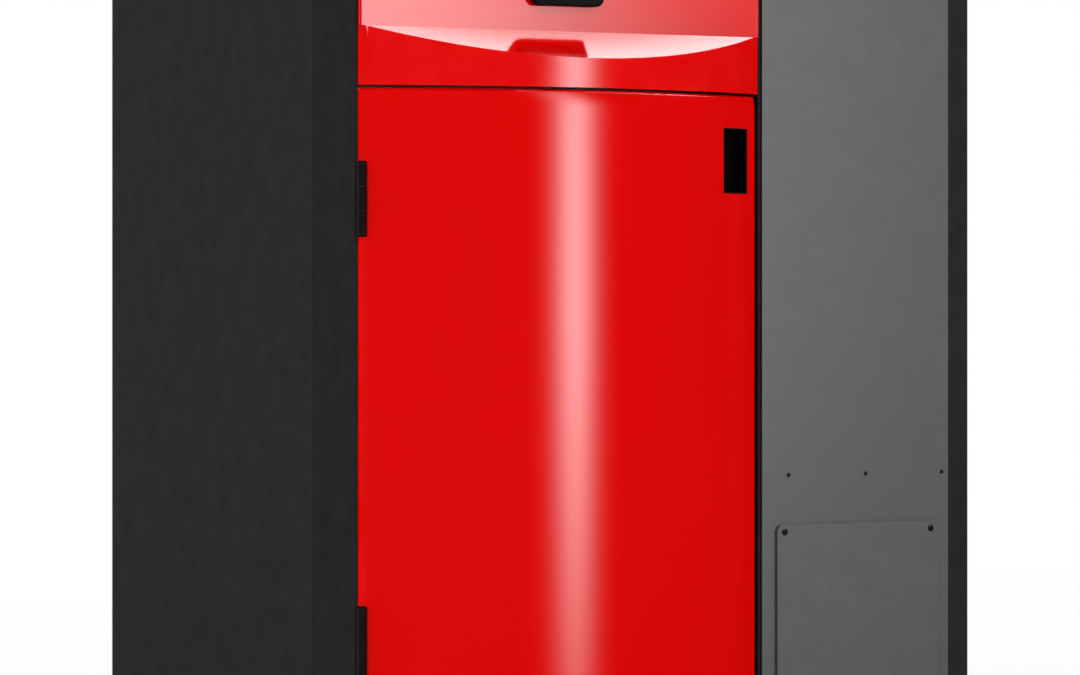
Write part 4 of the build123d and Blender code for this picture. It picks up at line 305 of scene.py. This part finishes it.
FINISHES = {
    "red_paint": powder_coat("red_powder_coat", (0.735, 0.0, 0.0), 0.09, peel=0.000006, coat=1.0),
    "anthracite_paint": powder_coat(
        "anthracite_powder_coat", (0.0178, 0.0178, 0.0178), 0.72, peel=0.0001, specular=0.02
    ),
    "grey_paint": powder_coat(
        "satin_grey_powder_coat", (0.066, 0.066, 0.066), 0.22, peel=0.00003, specular=1.0
    ),
    "black_steel": powder_coat("black_frame_paint", (0.006, 0.005, 0.005), 0.5, peel=0.0001, specular=0.1),
    "motor_paint": powder_coat("motor_housing_paint", (0.05, 0.05, 0.055), 0.45, peel=0.0001),
    "black_screw": powder_coat(
        "black_oxide_screws", (0.004, 0.004, 0.004), 0.4, peel=0.00003, specular=0.3
    ),
    "raw_steel": bare_metal("mill_finish_plate", (0.42, 0.42, 0.43), 0.45, soot=0.6),
    "galvanised": bare_metal(
        "galvanised_sheet", (0.55, 0.56, 0.58), 0.38, grain=(1.0, 1.0, 1.0), grain_scale=45.0, soot=0.15
    ),
    "zinc_steel": bare_metal("zinc_plated_steel", (0.6, 0.6, 0.6), 0.32, soot=0.1),
    "brass": bare_metal("forged_brass", (0.6, 0.43, 0.16), 0.3, grain=(1.0, 1.0, 1.0), soot=0.25),
    "cast_iron": rough_cast("rough_cast_iron", (0.07, 0.07, 0.075)),
    "refractory": pressed_board("pressed_vermiculite", (0.6, 0.5, 0.34)),
    "mineral_wool": wool("mineral_wool", (0.55, 0.48, 0.3)),
    "rope_seal": rope("glass_rope", (0.6, 0.6, 0.57)),
    "black_plastic": moulded("black_moulding", (0.0055, 0.0052, 0.0052), roughness=0.5, specular=0.08),
    "magnet_plastic": moulded("grey_catch_moulding", (0.6, 0.6, 0.6)),
    "lever_red": moulded("red_dipped_handle", (0.45, 0.012, 0.012), roughness=0.35),
    "rubber_foot": moulded("rubber_foot", (0.018, 0.018, 0.018), roughness=0.7, depth=0.0001),
    "screen_glass": screen_glass("display_window"),
}


def dress_nodes():
    """Give every CAD node the finish of its slot in the record."""
    for part in frame["record"]["subparts"]:
        shape = NODES[part["node"]]
        material = FINISHES[part["material_slot"]]
        shape.data.materials.clear()
        shape.data.materials.append(material)


dress_nodes()
# The cheeks get a darker copy of the side panels' anthracite paint, which paints shade onto the cheeks.
SHADED_CHEEK_PAINT = powder_coat("cheek_powder_coat", (0.0136, 0.0136, 0.0136), 0.72, peel=0.0001, specular=0.02)
for cheek in ("left_cheek", "right_cheek"):
    NODES[cheek].data.materials[0] = SHADED_CHEEK_PAINT


# Pieces shaped after the photograph. There the display panel is plumb, the display a little narrower, and the
# door's top edge eases back under the fascia.


def corner_angle(mesh, face, corner):
    """The angle of a face at one of its corners."""
    count = len(face.vertices)
    here, before, after = (mesh.vertices[face.vertices[(corner + step) % count]].co for step in (0, -1, 1))
    return (before - here).angle(after - here, 0.0)


def on_front_curve(place, normal):
    """The normal turned squarely out from the curved front, where the place lies on that curve."""
    out = Vector((place.x - CURVE_AXIS[0], place.y - CURVE_AXIS[1], 0.0))
    flat = Vector((normal.x, normal.y, 0.0))
    if abs(out.length - CURVE_RADIUS) > CURVE_REACH or flat.length < CURVE_STEEPNESS:
        return normal
    lean = flat.normalized().dot(out.normalized())
    if abs(lean) < CURVE_LIMIT:
        return normal
    out = out.normalized() * math.copysign(flat.length, lean)
    return Vector((out.x, out.y, normal.z))


def face_normals(mesh):
    """A normal for each corner of each face: the mean of the level faces round it, by their angle and area."""
    around = [[] for vertex in mesh.vertices]
    for face in mesh.polygons:
        for corner, index in enumerate(face.vertices):
            around[index].append((face.normal.copy(), face.area * corner_angle(mesh, face, corner)))
    normals = []
    for face in mesh.polygons:
        for index in face.vertices:
            near_level = [pair for pair in around[index] if pair[0].dot(face.normal) > SMOOTH_LIMIT]
            total = sum((normal * weight for normal, weight in near_level), Vector())
            normal = total.normalized() if total.length > 0.0 else face.normal.copy()
            normals.append(on_front_curve(mesh.vertices[index].co, normal))
    return normals


def merged_and_cut(source, levels):
    """A copy of a mesh with its doubled vertices merged and extra edges across it at the given heights."""
    shape = bmesh.new()
    shape.from_mesh(source)
    bmesh.ops.remove_doubles(shape, verts=shape.verts, dist=MERGE_DISTANCE)
    for level in levels:
        everything = shape.verts[:] + shape.edges[:] + shape.faces[:]
        bmesh.ops.bisect_plane(shape, geom=everything, plane_co=(0.0, 0.0, level), plane_no=(0.0, 0.0, 1.0))
    mesh = bpy.data.meshes.new(source.name + "_copy")
    shape.to_mesh(mesh)
    shape.free()
    return mesh


def reshaped_copy(name, node, body, shift, levels=()):
    """A new piece from a node's mesh, cut at the given heights, each vertex moved to where shift says."""
    mesh = merged_and_cut(NODES[node].data, levels)
    mesh.name = name
    if "custom_normal" in mesh.attributes:
        mesh.attributes.remove(mesh.attributes["custom_normal"])
    for vertex in mesh.vertices:
        vertex.co = shift(vertex.co)
    mesh.update()
    mesh.polygons.foreach_set("use_smooth", [True] * len(mesh.polygons))
    mesh.normals_split_custom_set(face_normals(mesh))
    mesh.materials.clear()
    mesh.materials.append(FINISHES[SLOT_OF[node]])
    piece = bpy.data.objects.new(name, mesh)
    bpy.context.scene.collection.objects.link(piece)
    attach(piece, body)
    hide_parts(node)
    return piece


def panel_stood_up(place):
    """Bring the fascia's front panel plumb over the crease, and leave its band, ledge and back alone."""
    height = place.z - CREASE_Z
    behind_panel = place.y - CREASE_Y - height * PANEL_LEAN
    if height < 0.0 or behind_panel > PANEL_REACH:
        return place.copy()
    return Vector((place.x, place.y - height * PANEL_LEAN, place.z))


def display_stood_up(place):
    """Turn the display about the crease as the panel turns, and narrow it to the photograph's width."""
    y, z = place.y - CREASE_Y, place.z - CREASE_Z
    turn = math.atan(PANEL_LEAN)
    depth = y * math.cos(turn) - z * math.sin(turn)
    height = y * math.sin(turn) + z * math.cos(turn)
    across = DISPLAY_MIDDLE + (place.x - DISPLAY_MIDDLE) * DISPLAY_NARROWED
    return Vector((across, CREASE_Y + depth, CREASE_Z + height))


def door_top_eased(place):
    """Ease the door's top edge back, a little more with each millimetre of height."""
    climb = (place.z - DOOR_EASE_START) / DOOR_EASE_HEIGHT
    return Vector((place.x, place.y + DOOR_EASE * max(0.0, climb) ** 2, place.z))


MERGE_DISTANCE = 0.000001
CREASE_Y = -0.41215
CREASE_Z = 1.058
PANEL_ANGLE = math.radians(78.0)
PANEL_LEAN = 1 / math.tan(PANEL_ANGLE)
PANEL_REACH = 0.006
DISPLAY_NARROWED = 0.93
DISPLAY_MIDDLE = sum(corner.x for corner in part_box("display_housing")) / 2
DOOR_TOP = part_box("front_door")[1].z
DOOR_EASE_HEIGHT = 0.024
DOOR_EASE_START = DOOR_TOP - DOOR_EASE_HEIGHT
DOOR_EASE = 0.004
DOOR_EASE_STEPS = 8
SMOOTH_LIMIT = math.cos(math.radians(28.0))
CURVE_AXIS = (-0.179, 0.21026)
CURVE_RADIUS = 0.69541
CURVE_REACH = 0.006
CURVE_STEEPNESS = 0.7
CURVE_LIMIT = math.cos(math.radians(5.0))
SLOT_OF = {part["node"]: part["material_slot"] for part in frame["record"]["subparts"]}

door_step = DOOR_EASE_HEIGHT / DOOR_EASE_STEPS
door_levels = [DOOR_EASE_START + step * door_step for step in range(DOOR_EASE_STEPS)]
reshaped_copy("plumb_fascia", "front_fascia", "cabinet", panel_stood_up)
reshaped_copy("plumb_display_housing", "display_housing", "cabinet", display_stood_up)
reshaped_copy("plumb_display_screen", "display_screen", "cabinet", display_stood_up)
reshaped_copy("eased_front_door", "front_door", "front_door", door_top_eased, door_levels)


# Camera


def aim_camera():
    """The photograph's view: a level camera at chest height, to the left of the door."""
    lens = bpy.data.cameras.new("photo_camera")
    lens.sensor_width = SENSOR_WIDTH
    lens.lens = SENSOR_WIDTH * FOCAL_LENGTH_PIXELS / IMAGE_WIDTH_PIXELS
    lens.shift_y = CAMERA_SHIFT_PIXELS / IMAGE_WIDTH_PIXELS
    lens.clip_start, lens.clip_end = CAMERA_CLIP
    camera = bpy.data.objects.new("photo_camera", lens)
    camera.location = CAMERA_PLACE
    camera.rotation_euler = (math.pi / 2, 0.0, -CAMERA_TURN)
    bpy.context.scene.collection.objects.link(camera)
    bpy.context.scene.camera = camera


# Light


def tall_glow(tree, direction):
    """A tall, distant diffuser as gloss shows it: a soft bell across, fading below eye level."""
    turn = math.radians(TALL_GLOW_TURN)
    sideways = aligned(tree, direction, (math.cos(turn), math.sin(turn), 0.0))
    towards = aligned(tree, direction, (math.sin(turn), -math.cos(turn), 0.0))
    height = aligned(tree, direction, (0.0, 0.0, 1.0))
    bell = (sideways * sideways * (-0.5 / TALL_GLOW_WIDTH ** 2)).math("EXPONENT")
    low, high = TALL_GLOW_FADE
    climb = ((height - low) / (high - low)).clamped()
    fall = ((TALL_GLOW_TOP - height) / TALL_GLOW_TOP).clamped()
    facing = (towards * TALL_GLOW_CUTOFF).clamped()
    return bell * climb * fall * facing * TALL_GLOW_POWER


def aligned(tree, direction, axis):
    """How far a direction points along an axis."""
    node = tree.nodes.new("ShaderNodeVectorMath")
    node.operation = "DOT_PRODUCT"
    put(tree, node.inputs[0], direction)
    node.inputs[1].default_value = axis
    return Value(tree, node.outputs["Value"])


def studio_world():
    """White behind the object for the camera and in gloss, and a plain pale room for what lights it."""
    world = bpy.data.worlds.new("studio")
    world.use_nodes = True
    tree = world.node_tree
    tree.nodes.clear()
    path = tree.nodes.new("ShaderNodeLightPath")
    seen = Value(tree, path.outputs["Is Camera Ray"])
    mirrored = Value(tree, path.outputs["Is Glossy Ray"]).math(
        "MAXIMUM", Value(tree, path.outputs["Is Transmission Ray"])
    )
    direction = Value(tree, tree.nodes.new("ShaderNodeTexCoord").outputs["Generated"])
    behind = (aligned(tree, direction, (0.0, 1.0, 0.0)) * BACKDROP_SLOPE).clamped()
    mirror_level = behind + tall_glow(tree, direction)
    level = (1.0 - mirrored) * ROOM_DIFFUSE + mirrored * mirror_level
    strength = seen + (1.0 - seen) * level
    background = tree.nodes.new("ShaderNodeBackground")
    background.inputs["Color"].default_value = (1.0, 1.0, 1.0, 1.0)
    put(tree, background.inputs["Strength"], strength)
    output = tree.nodes.new("ShaderNodeOutputWorld")
    tree.links.new(background.outputs[0], output.inputs["Surface"])
    world.cycles.sampling_method = "NONE"
    bpy.context.scene.world = world


def flat_sheet(name, size):
    """An upright sheet in its own X and Z, centred on its origin."""
    mesh = bpy.data.meshes.new(name)
    x, z = size[0] / 2, size[1] / 2
    mesh.from_pydata([(-x, 0, -z), (x, 0, -z), (x, 0, z), (-x, 0, z)], [], [(0, 1, 2, 3)])
    sheet = bpy.data.objects.new(name, mesh)
    bpy.context.scene.collection.objects.link(sheet)
    return sheet


def mirror_only(lamp):
    """Leave a lamp to gloss alone: the camera, diffuse light and shadows pass it by."""
    lamp.visible_camera = False
    lamp.visible_diffuse = False
    lamp.visible_shadow = False


def soft_box(name, place, tilt, turn, size, power, rise, bow):
    """A diffuser seen in gloss alone: bright along its middle line, fading to both sides and along its height.

    Rise holds two heights on the sheet, from its middle, and the glow below the first and above the second.
    Bow bends those two lines upwards with the distance from the middle.
    """
    sheet = flat_sheet(name, size)
    sheet.location = place
    sheet.rotation_euler = (math.radians(tilt), 0.0, math.radians(turn))
    finish = Finish(name + "_cloth")
    parts = finish.tree.nodes.new("ShaderNodeSeparateXYZ")
    finish.tree.links.new(finish.node("TexCoord", output="Object").socket, parts.inputs[0])
    side = Value(finish.tree, parts.outputs[0])
    across = side * (2 / size[0])
    up = Value(finish.tree, parts.outputs[2]) - side * side * bow
    bell = (1.0 - across * across).clamped()
    low, high, low_glow, high_glow = rise
    climb = ((up - low) * (1 / (high - low))).clamped()
    glow = bell * bell * (climb * (high_glow - low_glow) + low_glow)
    cloth = finish.surface(
        Base_Color=(0.0, 0.0, 0.0),
        Specular_IOR_Level=0.0,
        Emission_Color=finish.node("CombineColor", Red=glow, Green=glow, Blue=glow),
        Emission_Strength=power,
    )
    sheet.data.materials.append(cloth)
    mirror_only(sheet)


def studio_floor():
    """A plain pale floor."""
    mesh = bpy.data.meshes.new("studio_floor")
    half = FLOOR_SIZE / 2
    corners = [(-half, -half, 0), (half, -half, 0), (half, half, 0), (-half, half, 0)]
    mesh.from_pydata(corners, [], [(0, 1, 2, 3)])
    floor = bpy.data.objects.new("studio_floor", mesh)
    floor.location = (0.0, 0.0, -FLOOR_DROP)
    floor.visible_glossy = False
    bpy.context.scene.collection.objects.link(floor)
    finish = Finish("studio_floor")
    colour = finish.mix(finish.noise(6.0), (0.88, 0.88, 0.88), (0.92, 0.92, 0.92))
    floor.data.materials.append(finish.surface(Base_Color=colour, Roughness=0.9))


CAMERA_PLACE = (-3.7104, -6.3176, 0.6912)
CAMERA_TURN = math.radians(30.6)
CAMERA_SHIFT_PIXELS = -39.5
CAMERA_CLIP = (0.5, 60.0)
SENSOR_WIDTH = 36.0
FOCAL_LENGTH_PIXELS = 5000.0
IMAGE_WIDTH_PIXELS = 1080.0
ROOM_DIFFUSE = 1.15
BACKDROP_SLOPE = 4.0
TALL_GLOW_TURN = 26.7
TALL_GLOW_WIDTH = 0.0585
TALL_GLOW_FADE = (-0.108, -0.006)
TALL_GLOW_TOP = 0.65
TALL_GLOW_POWER = 4.95
TALL_GLOW_CUTOFF = 100.0
FLOOR_SIZE = 8.0
FLOOR_DROP = 0.0005

bpy.context.scene.view_settings.view_transform = "Standard"
aim_camera()
studio_world()
studio_floor()
soft_box(
    "ceiling_soft_box", (0.165, -0.712, 1.5), -90.0, 0.0, (2.2, 0.2), 17.5, (-0.022, 0.018, 0.3, 1.0), -0.5
)
